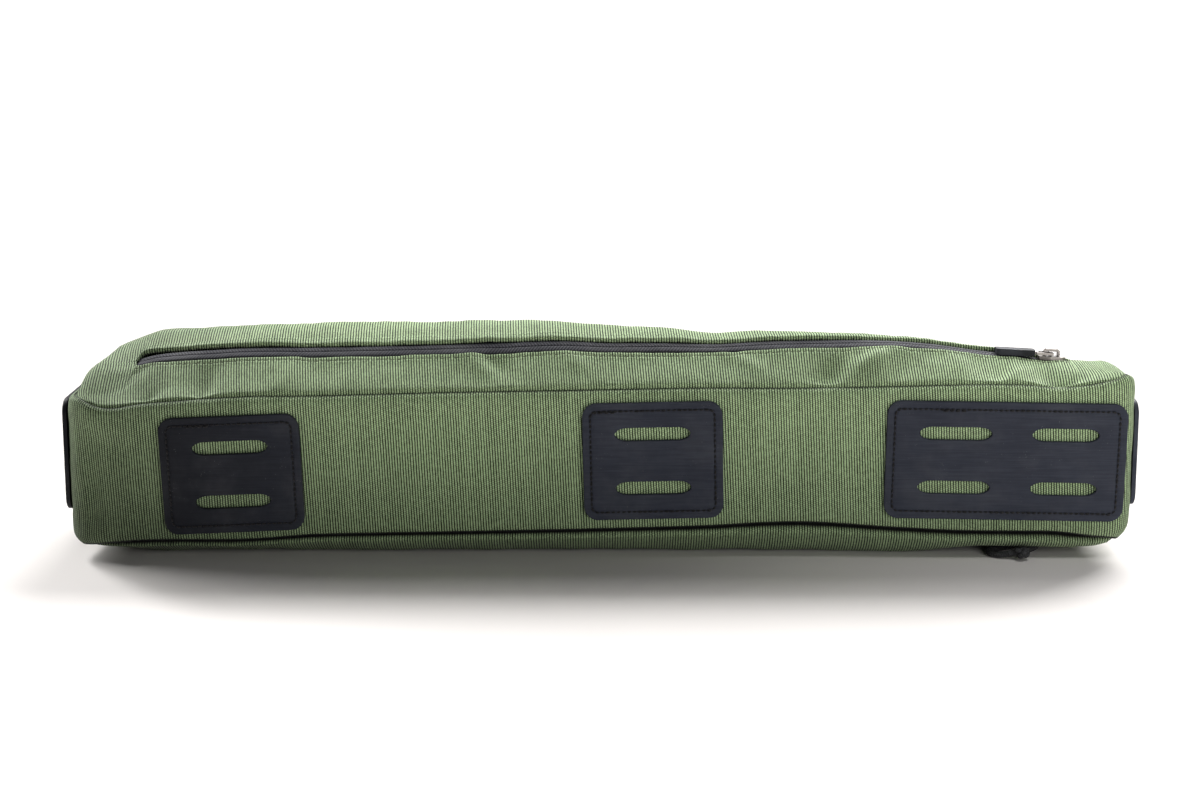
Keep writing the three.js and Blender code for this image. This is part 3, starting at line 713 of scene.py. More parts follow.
class Graph:
    """Adds nodes to a node tree and wires them."""

    def __init__(self, tree: Tree) -> None:
        """Keep the tree."""
        self.tree = tree

    def fill(self, node: bpy.types.Node, inputs: dict[str | int, object]) -> None:
        """Wire a node's inputs to outputs, or set them to plain values.

        Args:
            node: The node.
            inputs: Outputs or plain values by the input's name or number.
        """
        for key, value in inputs.items():
            if isinstance(value, Socket):
                self.tree.links.new(value, node.inputs[key])
            else:
                node.inputs[key].default_value = value

    def node(
        self, kind: str, inputs: dict[str | int, object] | None = None, **settings: object
    ) -> bpy.types.Node:
        """Add a node.

        Args:
            kind: Its type.
            inputs: Outputs or plain values for its inputs.
            settings: Its properties.

        Returns:
            The node.
        """
        made = self.tree.nodes.new(kind)
        for key, value in settings.items():
            setattr(made, key, value)
        self.fill(made, inputs or {})
        return made

    def math(self, operation: str, *values: object, clamp: bool = False) -> Socket:
        """Add a math node, whose result may be held within 0 to 1."""
        inputs = dict(enumerate(values))
        return self.node("ShaderNodeMath", inputs, operation=operation, use_clamp=clamp).outputs[0]

    def add(self, a: object, b: object, clamp: bool = False) -> Socket:
        """Add two values."""
        return self.math("ADD", a, b, clamp=clamp)

    def minus(self, a: object, b: object) -> Socket:
        """Take the second value from the first."""
        return self.math("SUBTRACT", a, b)

    def times(self, a: object, b: object, clamp: bool = False) -> Socket:
        """Multiply two values."""
        return self.math("MULTIPLY", a, b, clamp=clamp)

    def ridge(self, value: Socket, power: float) -> Socket:
        """Give a round ridge over each whole step of a value."""
        across = self.minus(self.times(self.math("FRACT", value), 2), 1)
        return self.minus(1, self.math("POWER", self.math("ABSOLUTE", across), power))

    def mix(self, factor: object, a: object, b: object, blend: str = "MIX") -> Socket:
        """Mix two colours by the second one's share."""
        inputs = {"Factor": factor, 6: a, 7: b}
        return self.node("ShaderNodeMix", inputs, data_type="RGBA", blend_type=blend).outputs[2]

    def noise(self, vector: Socket, scale: float, detail: float = 2, roughness: float = 0.5) -> Socket:
        """Add a noise texture."""
        inputs = {"Vector": vector, "Scale": scale, "Detail": detail, "Roughness": roughness}
        return self.node("ShaderNodeTexNoise", inputs).outputs["Fac"]

    def ramp(self, value: Socket, low: object, high: object, start: float = 0, end: float = 1) -> Socket:
        """Ease a value from the range low to high to the range start to end."""
        inputs = {"Value": value, "From Min": low, "From Max": high, "To Min": start, "To Max": end}
        return self.node("ShaderNodeMapRange", inputs, interpolation_type="SMOOTHSTEP").outputs[0]

    def bump(self, height: Socket, distance: float, strength: float) -> Socket:
        """Turn a height into a normal, with its distance in metres."""
        inputs = {"Strength": strength, "Distance": distance, "Height": height}
        return self.node("ShaderNodeBump", inputs).outputs["Normal"]

    def place(self) -> Socket:
        """Give the piece's Object coordinates."""
        return self.node("ShaderNodeTexCoord").outputs["Object"]

    def cloth(self) -> Socket:
        """Give the coordinates that follow the cloth."""
        return self.node("ShaderNodeUVMap", uv_map="cloth").outputs[0]

    def parts(self, vector: Socket) -> tuple[Socket, ...]:
        """Take a vector apart."""
        return tuple(self.node("ShaderNodeSeparateXYZ", {0: vector}).outputs)

    def group(self, tree: Tree, **values: object) -> bpy.types.NodeOutputs:
        """Place a node group with values for its inputs, and give its outputs."""
        return self.node("ShaderNodeGroup", values, node_tree=tree).outputs


PALE = (0.5, 0.5, 0.5, 1.0)
DARK = (0.1, 0.1, 0.1, 1.0)


def start_group(
    name: str, inputs: dict[str, object], outputs: Sequence[str]
) -> tuple[Graph, dict[str, Socket], dict[str, Socket]]:
    """Begin a shader node group.

    Args:
        name: Its name.
        inputs: Names with default values: a number, a colour or None for a vector.
        outputs: Names. Color is a colour, and the others are values.

    Returns:
        The graph, its input sockets by name and its output sockets by name.
    """
    tree = bpy.data.node_groups.new(name, "ShaderNodeTree")
    kinds = {type(None): "NodeSocketVector", tuple: "NodeSocketColor", float: "NodeSocketFloat"}
    for key, value in inputs.items():
        socket = tree.interface.new_socket(name=key, in_out="INPUT", socket_type=kinds[type(value)])
        if value is not None:
            socket.default_value = value
    for key in outputs:
        kind = kinds[tuple if key == "Color" else float]
        tree.interface.new_socket(name=key, in_out="OUTPUT", socket_type=kind)
    graph = Graph(tree)
    source, sink = graph.node("NodeGroupInput"), graph.node("NodeGroupOutput")
    return graph, {s.name: s for s in source.outputs if s.name}, {s.name: s for s in sink.inputs if s.name}


class Groups:
    """Node groups for effects that several finishes share, each built once."""

    sway_scale = 420
    sway = 0.0003
    rib_power = 2.2
    knuckle_power = 2
    knuckle = 0.34
    shade_from = 0.34
    own_slub = 0.7
    speck_scale = 900
    speck_size = (0.10, 0.22)
    rare_scale = 260
    rare = (0.58, 0.68)
    film_scale = 45
    film = (0.4, 0.75)
    # Painted light and shade: the heights over which it goes from darker at the bottom to paler at the top,
    # and where the painted shade of the rear end is full
    painted_light_heights = (0.004, 0.084)
    rear_end = -0.25
    cloud_scale = 22
    cloud_edge = (0.3, 0.7)
    cloud = (0.97, 1.05)
    fine_scale = 2600
    coarse_scale = 420
    mottle_scale = 70
    brush_scale = (60.0, 60.0, 1500.0)
    brush_share = 0.6

    @classmethod
    @cache
    def weave(cls) -> Tree:
        """Build the ribbed weave: upright ribs crossed by finer weft, from cloth coordinates in metres,
        coloured with each yarn's own tone and with painted shade in the gaps between ribs.

        Returns:
            The group.
        """
        inputs = {"Cloth": None, "Rib": 0.0012, "Weft": 0.00092, "High": PALE, "Low": DARK, "Slub": 0.2}
        g, i, o = start_group("Ribbed weave", inputs, ("Color", "Height"))
        x, y, _ = g.parts(i["Cloth"])
        sway = g.times(g.minus(g.noise(i["Cloth"], cls.sway_scale), 0.5), cls.sway)
        u = g.math("DIVIDE", g.add(x, sway), i["Rib"])
        rib_number = g.math("FLOOR", u)
        half_step = g.times(g.math("PINGPONG", rib_number, 1), 0.5)
        v = g.add(g.math("DIVIDE", g.add(y, sway), i["Weft"]), half_step)
        knuckle = g.math("MULTIPLY_ADD", g.ridge(v, cls.knuckle_power), cls.knuckle, 1 - cls.knuckle)
        height = g.times(g.ridge(u, cls.rib_power), knuckle)
        yarn = g.node("ShaderNodeCombineXYZ", {0: rib_number, 1: g.math("FLOOR", v)}).outputs[0]
        own = g.node("ShaderNodeTexWhiteNoise", {"Vector": yarn}, noise_dimensions="2D").outputs[0]
        rib_own = g.node("ShaderNodeTexWhiteNoise", {"W": rib_number}, noise_dimensions="1D").outputs[0]
        varied = g.add(g.times(own, cls.own_slub), g.times(rib_own, 1 - cls.own_slub))
        slub = g.times(g.minus(varied, 0.5), i["Slub"])
        # Each yarn's own tone, with painted shade in the gaps between ribs
        shade = g.add(g.ramp(height, cls.shade_from, 1.0), slub, clamp=True)
        g.fill(o["Color"].node, {"Color": g.mix(shade, i["Low"], i["High"]), "Height": height})
        return g.tree

    @classmethod
    @cache
    def dust(cls) -> Tree:
        """Build lint and fine dust: sparse pale specks and soft patches on Object coordinates.

        Returns:
            The group.
        """
        inputs = {"Color": DARK, "Dust": PALE, "Specks": 0.5, "Film": 0.1}
        g, i, o = start_group("Lint and dust", inputs, ("Color", "Mask"))
        place = g.place()
        cells = g.node("ShaderNodeTexVoronoi", {"Vector": place, "Scale": cls.speck_scale}, feature="F1")
        spot = g.ramp(cells.outputs["Distance"], *cls.speck_size, 1, 0)
        rare = g.ramp(g.noise(place, cls.rare_scale), *cls.rare)
        specks = g.times(g.times(spot, rare), i["Specks"], clamp=True)
        patches = g.noise(place, cls.film_scale, detail=5, roughness=0.6)
        film = g.times(g.ramp(patches, *cls.film), i["Film"])
        mask = g.add(specks, film, clamp=True)
        g.fill(o["Color"].node, {"Color": g.mix(mask, i["Color"], i["Dust"]), "Mask": mask})
        return g.tree

    @classmethod
    @cache
    def painted_light_shade(cls) -> Tree:
        """Build painted light and shade: paler towards the upper seam and darker towards the bottom as
        painted light from above, darker at the rear end as painted shade, and cloudy in random tone, on
        Object coordinates.

        Returns:
            The group.
        """
        inputs = {"Color": DARK, "Upright": 0.14, "End": 0.3, "Reach": -0.12}
        g, i, o = start_group("Fading", inputs, ("Color",))
        place = g.place()
        x, _, z = g.parts(place)
        # Painted light at the top and painted shade at the bottom
        height = g.times(g.ramp(z, *cls.painted_light_heights, -1, 1), i["Upright"])
        # Painted shade towards the rear end
        end = g.times(g.ramp(x, cls.rear_end, i["Reach"], 1, 0), i["End"])
        clouds = g.noise(place, cls.cloud_scale, detail=4, roughness=0.6)
        cloudy = g.ramp(clouds, *cls.cloud_edge, *cls.cloud)
        shade = g.times(g.minus(g.add(1, height), end), cloudy)
        g.fill(o["Color"].node, {"Color": g.mix(1.0, i["Color"], shade, "MULTIPLY")})
        return g.tree

    @classmethod
    @cache
    def grain(cls) -> Tree:
        """Build fine moulded or coated grain, with mottling and brush marks, on Object coordinates.

        Returns:
            The group.
        """
        g, i, o = start_group("Fine grain", {"Coarse": 0.5}, ("Height", "Mottle", "Brushed"))
        place = g.place()
        coarse = g.times(g.noise(place, cls.coarse_scale, detail=3), i["Coarse"])
        mottle = g.noise(place, cls.mottle_scale, detail=4, roughness=0.6)
        stretch = {0: place, 1: cls.brush_scale}
        drawn = g.node("ShaderNodeVectorMath", stretch, operation="MULTIPLY").outputs[0]
        brushed = g.add(g.times(g.noise(drawn, 1), cls.brush_share), g.times(mottle, 1 - cls.brush_share))
        height = g.add(g.noise(place, cls.fine_scale), coarse)
        g.fill(o["Height"].node, {"Height": height, "Mottle": mottle, "Brushed": brushed})
        return g.tree


# Finishes


def srgb(red: float, green: float, blue: float) -> tuple[float, float, float, float]:
    """Turn a colour of 0 to 255 into Blender's linear colour."""
    shares = [v / 255 for v in (red, green, blue)]
    return (*(((v + 0.055) / 1.055) ** 2.4 if v > 0.04 else v / 12.92 for v in shares), 1.0)


@dataclass(frozen=True)
class Finish:
    """A finish with its own material."""

    name: str

    def material(self) -> Material:
        """Build the material.

        Returns:
            The material.
        """
        material = bpy.data.materials.new(self.name)
        material.use_nodes = True
        graph = Graph(material.node_tree)
        graph.fill(material.node_tree.nodes["Principled BSDF"], self.inputs(graph))
        return material

    def inputs(self, g: Graph) -> dict[str | int, object]:
        """Wire the finish.

        Args:
            g: The material's graph.

        Returns:
            The shader's inputs.
        """
        raise NotImplementedError


@dataclass(frozen=True)
class LintyFinish(Finish):
    """A finish with a little lint and dust on it."""

    lint: Triple
    specks: float
    film: float

    def linty(self, g: Graph, colour: Socket) -> bpy.types.NodeOutputs:
        """Lay lint and dust on a colour."""
        return g.group(Groups.dust(), Color=colour, Dust=srgb(*self.lint), Specks=self.specks, Film=self.film)


@dataclass(frozen=True)
class ClothFinish(LintyFinish):
    """Ribbed green cloth, with painted shade where it is tucked into a seam and in the gaps between its ribs,
    painted shade at the rear end and painted light towards the upper seam.
    """

    name: str = "ribbed green cloth"
    lint: Triple = (150, 162, 132)
    specks: float = 0.15
    film: float = 0.04
    # Rib crowns in the yarn's own green, and gaps between ribs with painted shade
    high: Triple = (169, 192, 147)
    low: Triple = (14, 20, 10)
    # Painted shade where the cloth is tucked into a seam
    seam: Triple = (9, 11, 8)
    rib: float = 0.0012
    weft: float = 0.00092
    slub: float = 0.28
    depth: float = 0.0003
    relief: float = 0.7
    # Painted light towards the upper seam, and painted shade towards the rear end up to the reach
    upright: float = 0.18
    end: float = 0.52
    reach: float = -0.1
    # Range of tuck over which the painted seam shade comes in
    painted_seam_shade_edge: Span = (0.1, 0.7)
    roughness: Span = (0.98, 0.8)

    def inputs(self, g: Graph) -> dict[str | int, object]:
        """Wire the finish.

        Args:
            g: The material's graph.

        Returns:
            The shader's inputs.
        """
        yarn = {"High": srgb(*self.high), "Low": srgb(*self.low), "Slub": self.slub}
        weave = g.group(Groups.weave(), Cloth=g.cloth(), Rib=self.rib, Weft=self.weft, **yarn)
        # Painted light towards the upper seam and painted shade at the rear end
        light = {"Upright": self.upright, "End": self.end, "Reach": self.reach}
        painted_shading = g.group(Groups.painted_light_shade(), Color=weave["Color"], **light)
        # Painted shade in the seams, by how far the cloth is tucked in
        tuck = g.node("ShaderNodeAttribute", attribute_name="tuck").outputs["Fac"]
        colour = self.linty(g, painted_shading["Color"])["Color"]
        return {
            "Base Color": g.mix(g.ramp(tuck, *self.painted_seam_shade_edge), colour, srgb(*self.seam)),
            "Roughness": g.ramp(weave["Height"], 0, 1, *self.roughness),
            "Normal": g.bump(weave["Height"], self.depth, self.relief),
            "Specular IOR Level": 0.2,
            "Sheen Weight": 0.05,
            "Sheen Roughness": 0.5,
        }


@dataclass(frozen=True)
class RubberFinish(LintyFinish):
    """Matt black coated sheet with rubbed edges, and painted shade towards the rear end."""

    name: str = "matt black anchor sheet"
    lint: Triple = (130, 130, 130)
    specks: float = 0.22
    film: float = 0.06
    colour: Triple = (41, 44, 54)
    worn: Triple = (62, 66, 76)
    roughness: float = 0.5
    dust_roughness: float = 0.3
    mottle_roughness: float = 0.12
    coarse: float = 0.6
    depth: float = 0.00006
    relief: float = 0.5
    rubbed_edge: Span = (0.505, 0.56)
    rubbed_patch: Span = (0.3, 0.7)
    brush: Span = (0.35, 0.7)
    brush_most: float = 0.35
    # Painted shade towards the rear end
    end: float = 0.85
    reach: float = -0.05

    def inputs(self, g: Graph) -> dict[str | int, object]:
        """Wire the finish.

        Args:
            g: The material's graph.

        Returns:
            The shader's inputs.
        """
        grain = g.group(Groups.grain(), Coarse=self.coarse)
        edges = g.node("ShaderNodeNewGeometry").outputs["Pointiness"]
        patches = g.ramp(grain["Mottle"], *self.rubbed_patch)
        rubbed = g.times(g.ramp(edges, *self.rubbed_edge), patches, clamp=True)
        brushed = g.ramp(grain["Brushed"], *self.brush, 0, self.brush_most)
        toned = g.mix(brushed, srgb(*self.colour), srgb(*self.worn))
        edged = g.mix(rubbed, toned, srgb(*self.worn))
        # Painted shade towards the rear end
        painted_shading = g.group(Groups.painted_light_shade(), Color=edged, Upright=0.0, End=self.end, Reach=self.reach)
        dusty = self.linty(g, painted_shading["Color"])
        rough = g.math("MULTIPLY_ADD", dusty["Mask"], self.dust_roughness, self.roughness)
        return {
            "Base Color": dusty["Color"],
            "Roughness": g.add(rough, g.times(grain["Mottle"], self.mottle_roughness)),
            "Normal": g.bump(grain["Height"], self.depth, self.relief),
            "Specular IOR Level": 0.12,
        }


@dataclass(frozen=True)
class ZipFinish(LintyFinish):
    """Grey coated zip: herringbone ridges each side of the parting line."""

    name: str = "grey coated zip"
    lint: Triple = (150, 150, 150)
    specks: float = 0.4
    film: float = 0.1
    high: Triple = (74, 74, 81)
    low: Triple = (40, 40, 45)
    tooth: float = 0.0015
    slant: float = 0.55
    tooth_side: Span = (0.08, 0.42)
    chain_edge: Span = (0.0030, 0.0036)
    tape_height: float = 0.15
    parting: Span = (0.00005, 0.00022)
    wear_scale: float = 160
    wear_patch: Span = (0.25, 0.7)
    wear: Span = (0.5, 1.0)
    roughness: Span = (0.85, 0.72)
    depth: float = 0.00014
    relief: float = 0.6

    def inputs(self, g: Graph) -> dict[str | int, object]:
        """Wire the finish.

        Args:
            g: The material's graph.

        Returns:
            The shader's inputs.
        """
        x, y, _ = g.parts(g.cloth())
        off = g.math("ABSOLUTE", y)
        u = g.math("DIVIDE", g.add(x, g.times(off, self.slant)), self.tooth)
        teeth = g.ramp(g.math("PINGPONG", u, 0.5), *self.tooth_side)
        ridge = g.times(teeth, g.ramp(off, *self.chain_edge, 1, self.tape_height))
        height = g.times(ridge, g.ramp(off, *self.parting))
        patches = g.noise(g.place(), self.wear_scale, detail=3)
        worn = g.times(height, g.ramp(patches, *self.wear_patch, *self.wear))
        return {
            "Base Color": self.linty(g, g.mix(worn, srgb(*self.low), srgb(*self.high)))["Color"],
            "Roughness": g.ramp(height, 0, 1, *self.roughness),
            "Normal": g.bump(height, self.depth, self.relief),
            "Specular IOR Level": 0.2,
        }


@dataclass(frozen=True)
class MetalFinish(LintyFinish):
    """Dark plated metal with bright worn edges."""

    name: str = "dark plated metal"
    lint: Triple = (150, 148, 145)
    specks: float = 0.2
    film: float = 0.08
    colour: Triple = (66, 63, 62)
    worn: Triple = (150, 144, 140)
    coarse: float = 0.3
    depth: float = 0.00002
    relief: float = 0.4
    rubbed_edge: Span = (0.51, 0.58)
    rubbed_patch: Span = (0.2, 0.6)
    rough_patch: Span = (0.2, 0.8)
    roughness: Span = (0.36, 0.5)

    def inputs(self, g: Graph) -> dict[str | int, object]:
        """Wire the finish.

        Args:
            g: The material's graph.

        Returns:
            The shader's inputs.
        """
        grain = g.group(Groups.grain(), Coarse=self.coarse)
        edges = g.node("ShaderNodeNewGeometry").outputs["Pointiness"]
        patches = g.ramp(grain["Mottle"], *self.rubbed_patch)
        rubbed = g.times(g.ramp(edges, *self.rubbed_edge), patches, clamp=True)
        return {
            "Base Color": self.linty(g, g.mix(rubbed, srgb(*self.colour), srgb(*self.worn)))["Color"],
            "Roughness": g.ramp(grain["Mottle"], *self.rough_patch, *self.roughness),
            "Normal": g.bump(grain["Height"], self.depth, self.relief),
            "Metallic": 0.9,
        }


@dataclass(frozen=True)
class ThreadFinish(Finish):
    """Twisted sewing thread or braided cord, banded along its own coordinates."""

    colour: Triple
    bright: Triple
    pitch: float = 0.0005
    depth: float = 0.00012
    relief: float = 0.6
    strand_edge: Span = (0.0, 0.2)
    strand_tone: float = 0.5
    fuzz_scale: float = 900
    fuzz_patch: Span = (0.35, 0.7)
    fuzz_most: float = 0.5
    roughness: Span = (0.85, 0.62)

    def inputs(self, g: Graph) -> dict[str | int, object]:
        """Wire the finish.

        Args:
            g: The material's graph.

        Returns:
            The shader's inputs.
        """
        x, y, _ = g.parts(g.cloth())
        along = g.math("DIVIDE", x, self.pitch)
        strands = [g.math("PINGPONG", lay, 0.5) for lay in (g.add(along, y), g.minus(along, y))]
        height = g.ramp(g.times(*strands), *self.strand_edge)
        fibres = g.noise(g.place(), self.fuzz_scale, detail=3)
        fuzz = g.ramp(fibres, *self.fuzz_patch, 0, self.fuzz_most)
        tone = g.add(g.times(height, self.strand_tone), fuzz, clamp=True)
        return {
            "Base Color": g.mix(tone, srgb(*self.colour), srgb(*self.bright)),
            "Roughness": g.ramp(height, 0, 1, *self.roughness),
            "Normal": g.bump(height, self.depth, self.relief),
        }


@dataclass(frozen=True)
class FloorFinish(Finish):
    """Pale studio floor."""

    name: str = "pale studio floor"
    tint: tuple[float, float, float, float] = (1.0, 0.96, 0.935, 1)
    patch_scale: float = 6
    patch_edge: Span = (0.3, 0.7)
    tones: Span = (0.74, 0.76)

    def inputs(self, g: Graph) -> dict[str | int, object]:
        """Wire the finish.

        Args:
            g: The material's graph.

        Returns:
            The shader's inputs.
        """
        patches = g.noise(g.place(), self.patch_scale, detail=3)
        tone = g.ramp(patches, *self.patch_edge, *self.tones)
        colour = g.mix(tone, (0, 0, 0, 1), self.tint)
        return {"Base Color": colour, "Roughness": 0.9, "Specular IOR Level": 0.1}


@dataclass(frozen=True)
class Finishes:
    """All the bag's materials."""

    cloth: Material
    anchor: Material
    zip: Material
    metal: Material
    tab: Material
    black_thread: Material
    green_thread: Material
    cord: Material

    @classmethod
    def mixed(cls) -> "Finishes":
        """Build every material once.

        Returns:
            The materials.
        """
        tab = {"colour": (22, 22, 25), "worn": (58, 60, 66), "roughness": 0.55, "film": 0.05}
        finishes = {
            "cloth": ClothFinish(),
            "anchor": RubberFinish(),
            "zip": ZipFinish(),
            "metal": MetalFinish(),
            "tab": RubberFinish("black pull tab", **tab),
            "black_thread": ThreadFinish("black thread", (5, 5, 6), (24, 24, 27)),
            "green_thread": ThreadFinish("green thread", (78, 88, 64), (150, 164, 130)),
            "cord": ThreadFinish("black braided cord", (10, 10, 12), (58, 58, 62), 0.0011),
        }
        return cls(**{key: finish.material() for key, finish in finishes.items()})


# Stitches


class StitchTree:
    """Geometry Nodes that sew a stitch at even steps along paths lying on a surface."""

    name = "Stitches along a path"
    # Name, socket type and default value of each input
    sockets = (
        ("Paths", "NodeSocketGeometry", None),
        ("Stitch", "NodeSocketObject", None),
        ("Pitch", "NodeSocketFloat", 0.0024),
        ("Chance", "NodeSocketFloat", 0.1),
        ("Seed", "NodeSocketInt", 3),
        ("Thread", "NodeSocketMaterial", None),
    )
    dip_share = 0.4
    least_size = 0.86
    most_size = 1.12

    def __init__(self) -> None:
        """Find the tree, or build it the first time."""
        self.tree = bpy.data.node_groups.get(self.name) or self.build()

    def build(self) -> Tree:
        """Wire the tree: paths to curves, even points, stitches laid along them with a little chance.

        Returns:
            The tree.
        """
        tree = bpy.data.node_groups.new(self.name, "GeometryNodeTree")
        for name, kind, value in self.sockets:
            socket = tree.interface.new_socket(name=name, in_out="INPUT", socket_type=kind)
            if value is not None:
                socket.default_value = value
        tree.interface.new_socket(name="Stitches", in_out="OUTPUT", socket_type="NodeSocketGeometry")
        g = Graph(tree)
        given = g.node("NodeGroupInput").outputs
        curves = g.node("GeometryNodeMeshToCurve", {"Mesh": given["Paths"]}).outputs["Curve"]
        steps = {"Curve": curves, "Length": given["Pitch"]}
        even = g.node("GeometryNodeResampleCurve", steps, mode="LENGTH").outputs["Curve"]
        off = g.node("GeometryNodeInputNamedAttribute", {"Name": "off_surface"}, data_type="FLOAT_VECTOR")
        axes = {0: g.node("GeometryNodeInputTangent").outputs[0], 1: off.outputs[0]}
        lie = g.node("FunctionNodeAxesToRotation", axes, primary_axis="X", secondary_axis="Z")
        chances: dict[str | int, object] = {"Seed": given["Seed"]}
        for key, sign in enumerate((-1.0, 1.0)):
            most = {0: (0.0, self.dip_share * sign, sign), "Scale": given["Chance"]}
            chances[key] = g.node("ShaderNodeVectorMath", most, operation="SCALE").outputs[0]
        turn = g.node("FunctionNodeRandomValue", chances, data_type="FLOAT_VECTOR")
        angles = g.node("FunctionNodeEulerToRotation", {0: turn.outputs[0]})
        turns = {0: lie.outputs[0], 1: angles.outputs[0]}
        askew = g.node("FunctionNodeRotateRotation", turns, rotation_space="LOCAL")
        sizes = {2: self.least_size, 3: self.most_size, "Seed": given["Seed"]}
        size = g.node("FunctionNodeRandomValue", sizes, data_type="FLOAT")
        stitch = g.node("GeometryNodeObjectInfo", {"Object": given["Stitch"]}).outputs["Geometry"]
        sewing = {"Points": even, "Instance": stitch, "Rotation": askew.outputs[0], "Scale": size.outputs[1]}
        sewn = g.node("GeometryNodeInstanceOnPoints", sewing)
        real = g.node("GeometryNodeRealizeInstances", {0: sewn.outputs[0]})
        dress = {"Geometry": real.outputs[0], "Material": given["Thread"]}
        g.node("NodeGroupOutput", {0: g.node("GeometryNodeSetMaterial", dress).outputs[0]})
        return tree

    def identifier(self, name: str) -> str:
        """Give the identifier of one of the tree's inputs."""
        items = self.tree.interface.items_tree
        return next(s.identifier for s in items if s.in_out == "INPUT" and s.name == name)


@dataclass
class StitchRows:
    """Rows of stitches of one thread, sewn into one piece."""

    name: str
    thread: Material
    pitch: float
    length: float
    radius: float
    seed: int
    chance: float = 0.1
    sides: int = 6
    rings: int = 7
    rise: float = 0.9
    dip: float = 1.9
    paths: list[tuple[Array, Array]] = field(default_factory=list)

    def add(self, points: Array, off: Array) -> None:
        """Add a path with the directions off the surface at its points."""
        self.paths.append((points, off))

    def stitch(self) -> Piece:
        """Make one stitch: a short thread that dips at both ends.

        Returns:
            The stitch, at the origin.
        """
        t = np.linspace(-1, 1, self.rings)
        path = np.stack([t * self.length / 2, 0 * t, self.radius * (self.rise - self.dip * t**4)], 1)
        points, faces = tube(path, self.radius, self.sides, taper=True)
        points = points / MM
        around = np.arange(len(points)) % self.sides / self.sides
        name = self.name + "_one"
        return add_object(name, make_mesh(name, points, faces, np.stack([points[:, 0], around], 1)))

    def sew(self) -> Piece:
        """Run the tree over the paths and keep the result as a plain mesh.

        Returns:
            The piece.
        """
        edges, start = [], 0
        for path, _ in self.paths:
            edges += [(start + k, start + k + 1) for k in range(len(path) - 1)]
            start += len(path)
        points, off = (np.concatenate(parts) for parts in zip(*self.paths))
        mesh = bpy.data.meshes.new(self.name + "_paths")
        mesh.from_pydata(ROW.metres(points).tolist(), edges, [])
        stored = mesh.attributes.new("off_surface", "FLOAT_VECTOR", "POINT")
        stored.data.foreach_set("vector", off.astype(np.float32).ravel())
        piece = add_object(self.name, mesh)
        one = self.stitch()
        sewing = StitchTree()
        modifier = piece.modifiers.new("stitches", "NODES")
        modifier.node_group = sewing.tree
        given = {"Stitch": one, "Pitch": self.pitch / MM, "Chance": self.chance, "Seed": self.seed}
        for key, value in {**given, "Thread": self.thread}.items():
            modifier[sewing.identifier(key)] = value
        graph = bpy.context.evaluated_depsgraph_get()
        sewn = bpy.data.meshes.new_from_object(piece.evaluated_get(graph), depsgraph=graph)
        piece.modifiers.clear()
        piece.data = sewn
        bpy.data.objects.remove(one)
        return piece


def settle(piece: Piece, material: Material | None, slot: str, *nodes: str) -> Piece:
    """Dress a piece and give it its place in the frame.

    Args:
        piece: The piece.
        material: Its material, or None where it has one.
        slot: Not used.
        nodes: CAD nodes that it stands for.

    Returns:
        The piece.
    """
    if material is not None:
        piece.data.materials.clear()
        piece.data.materials.append(material)
    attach(piece, BAG)
    if nodes:
        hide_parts(*nodes)
    log.info("%s: %d faces", piece.name, len(piece.data.polygons))
    return piece


# Sewn body

CREASES = (
    Fold(-219, 16, 9, 2.4, 35, 0.6), Fold(-217, 23, 9, 2.2, 20, 0.6), Fold(-206, 3, 8, 3, 50, 0.9),
    Fold(-180, 8, 12, 4, 85, 1.3), Fold(-143, 11, 12, 5, 75, -0.7), Fold(-55, 14, 12, 3.5, -50, -0.8),
    Fold(-46, 13, 11, 3.5, -50, 0.6), Fold(-13, 15, 9, 3.5, -40, -0.6), Fold(58, 14, 10, 3, 70, 0.7),
    Fold(66, 13, 10, 3, -40, -0.5), Fold(103, 8, 9, 4.5, 60, 1.2), Fold(120, 11, 15, 3.5, 36, -1.1),
    Fold(137, 10, 13, 5, 50, 0.6), Fold(163, 14, 9, 5, 80, -0.7), Fold(181, 9, 10, 3.5, 70, 0.8),
    Fold(188, 8, 9, 3, 50, -0.6), Fold(206, 2.5, 7, 3, 10, 1.3), Fold(215, 6, 8, 2.5, 60, 0.5),
    Fold(-211, 66, 12, 40, 0, -0.8), Fold(-230, 56, 6, 30, 0, 0.45), Fold(237, 22, 6, 20, 0, -0.8),
    Fold(203, 9, 5, 8, 20, 0.8), Fold(213, 10, 6, 8, 15, -0.45),
)
# Distances of the mesh's rows from a seam, a zip's lip, a panel's end and the end of a zip's slot
SEAM_ROWS = (0.0, 0.3, 0.7, 1.2, 1.9, 2.8, 4.0, 5.6)
LIP_ROWS = (0.0, 0.18, 0.45, 0.8, 1.2, 1.7, 2.3, 2.9, 3.6, 4.4, 5.3, 6.3, 7.4)
END_ROWS = (*SEAM_ROWS, 7.4)
SLOT_ROWS = (-0.6, 0, 0.12, 0.4, 0.9, 1.6, 2.5, 3.6)
END_CLEAR = 9.2
# Rows of the zip's mesh each side of its parting line
ZIP_ROWS = (0.12, 0.35, 1.0, 2.2, 3.3, 3.7, 4.4, 5.2, 7.6)
# Distance from the parting line, and the zip's depth under the cloth there
ZIP_DEPTHS = (
    (0, 0.6), (0.12, 0.55), (0.35, 0.36), (1.0, 0.3), (3.2, 0.4), (3.6, 0.7), (4.4, 1.2), (7.6, 2.5),
)


@dataclass(frozen=True)
class Lip:
    """Folded edge of cloth along a zip: its height, nose, width and stitch line."""

    height: float
    nose: float
    width: float
    stitch: float
    level_share: float = 0.72
    stitch_depth: float = 0.35
    stitch_width: float = 0.55

    def rise(self, e: Array) -> Array:
        """Give the rise of the cloth.

        Args:
            e: Distances from the folded edge.

        Returns:
            Rises.
        """
        round_nose = np.sqrt(np.maximum(0, 1 - fall(e, self.nose)))
        slope = 1 - smoothstep(e, self.width * self.level_share, self.width)
        return self.height * round_nose * slope - self.stitch_depth * bell(e - self.stitch, self.stitch_width)


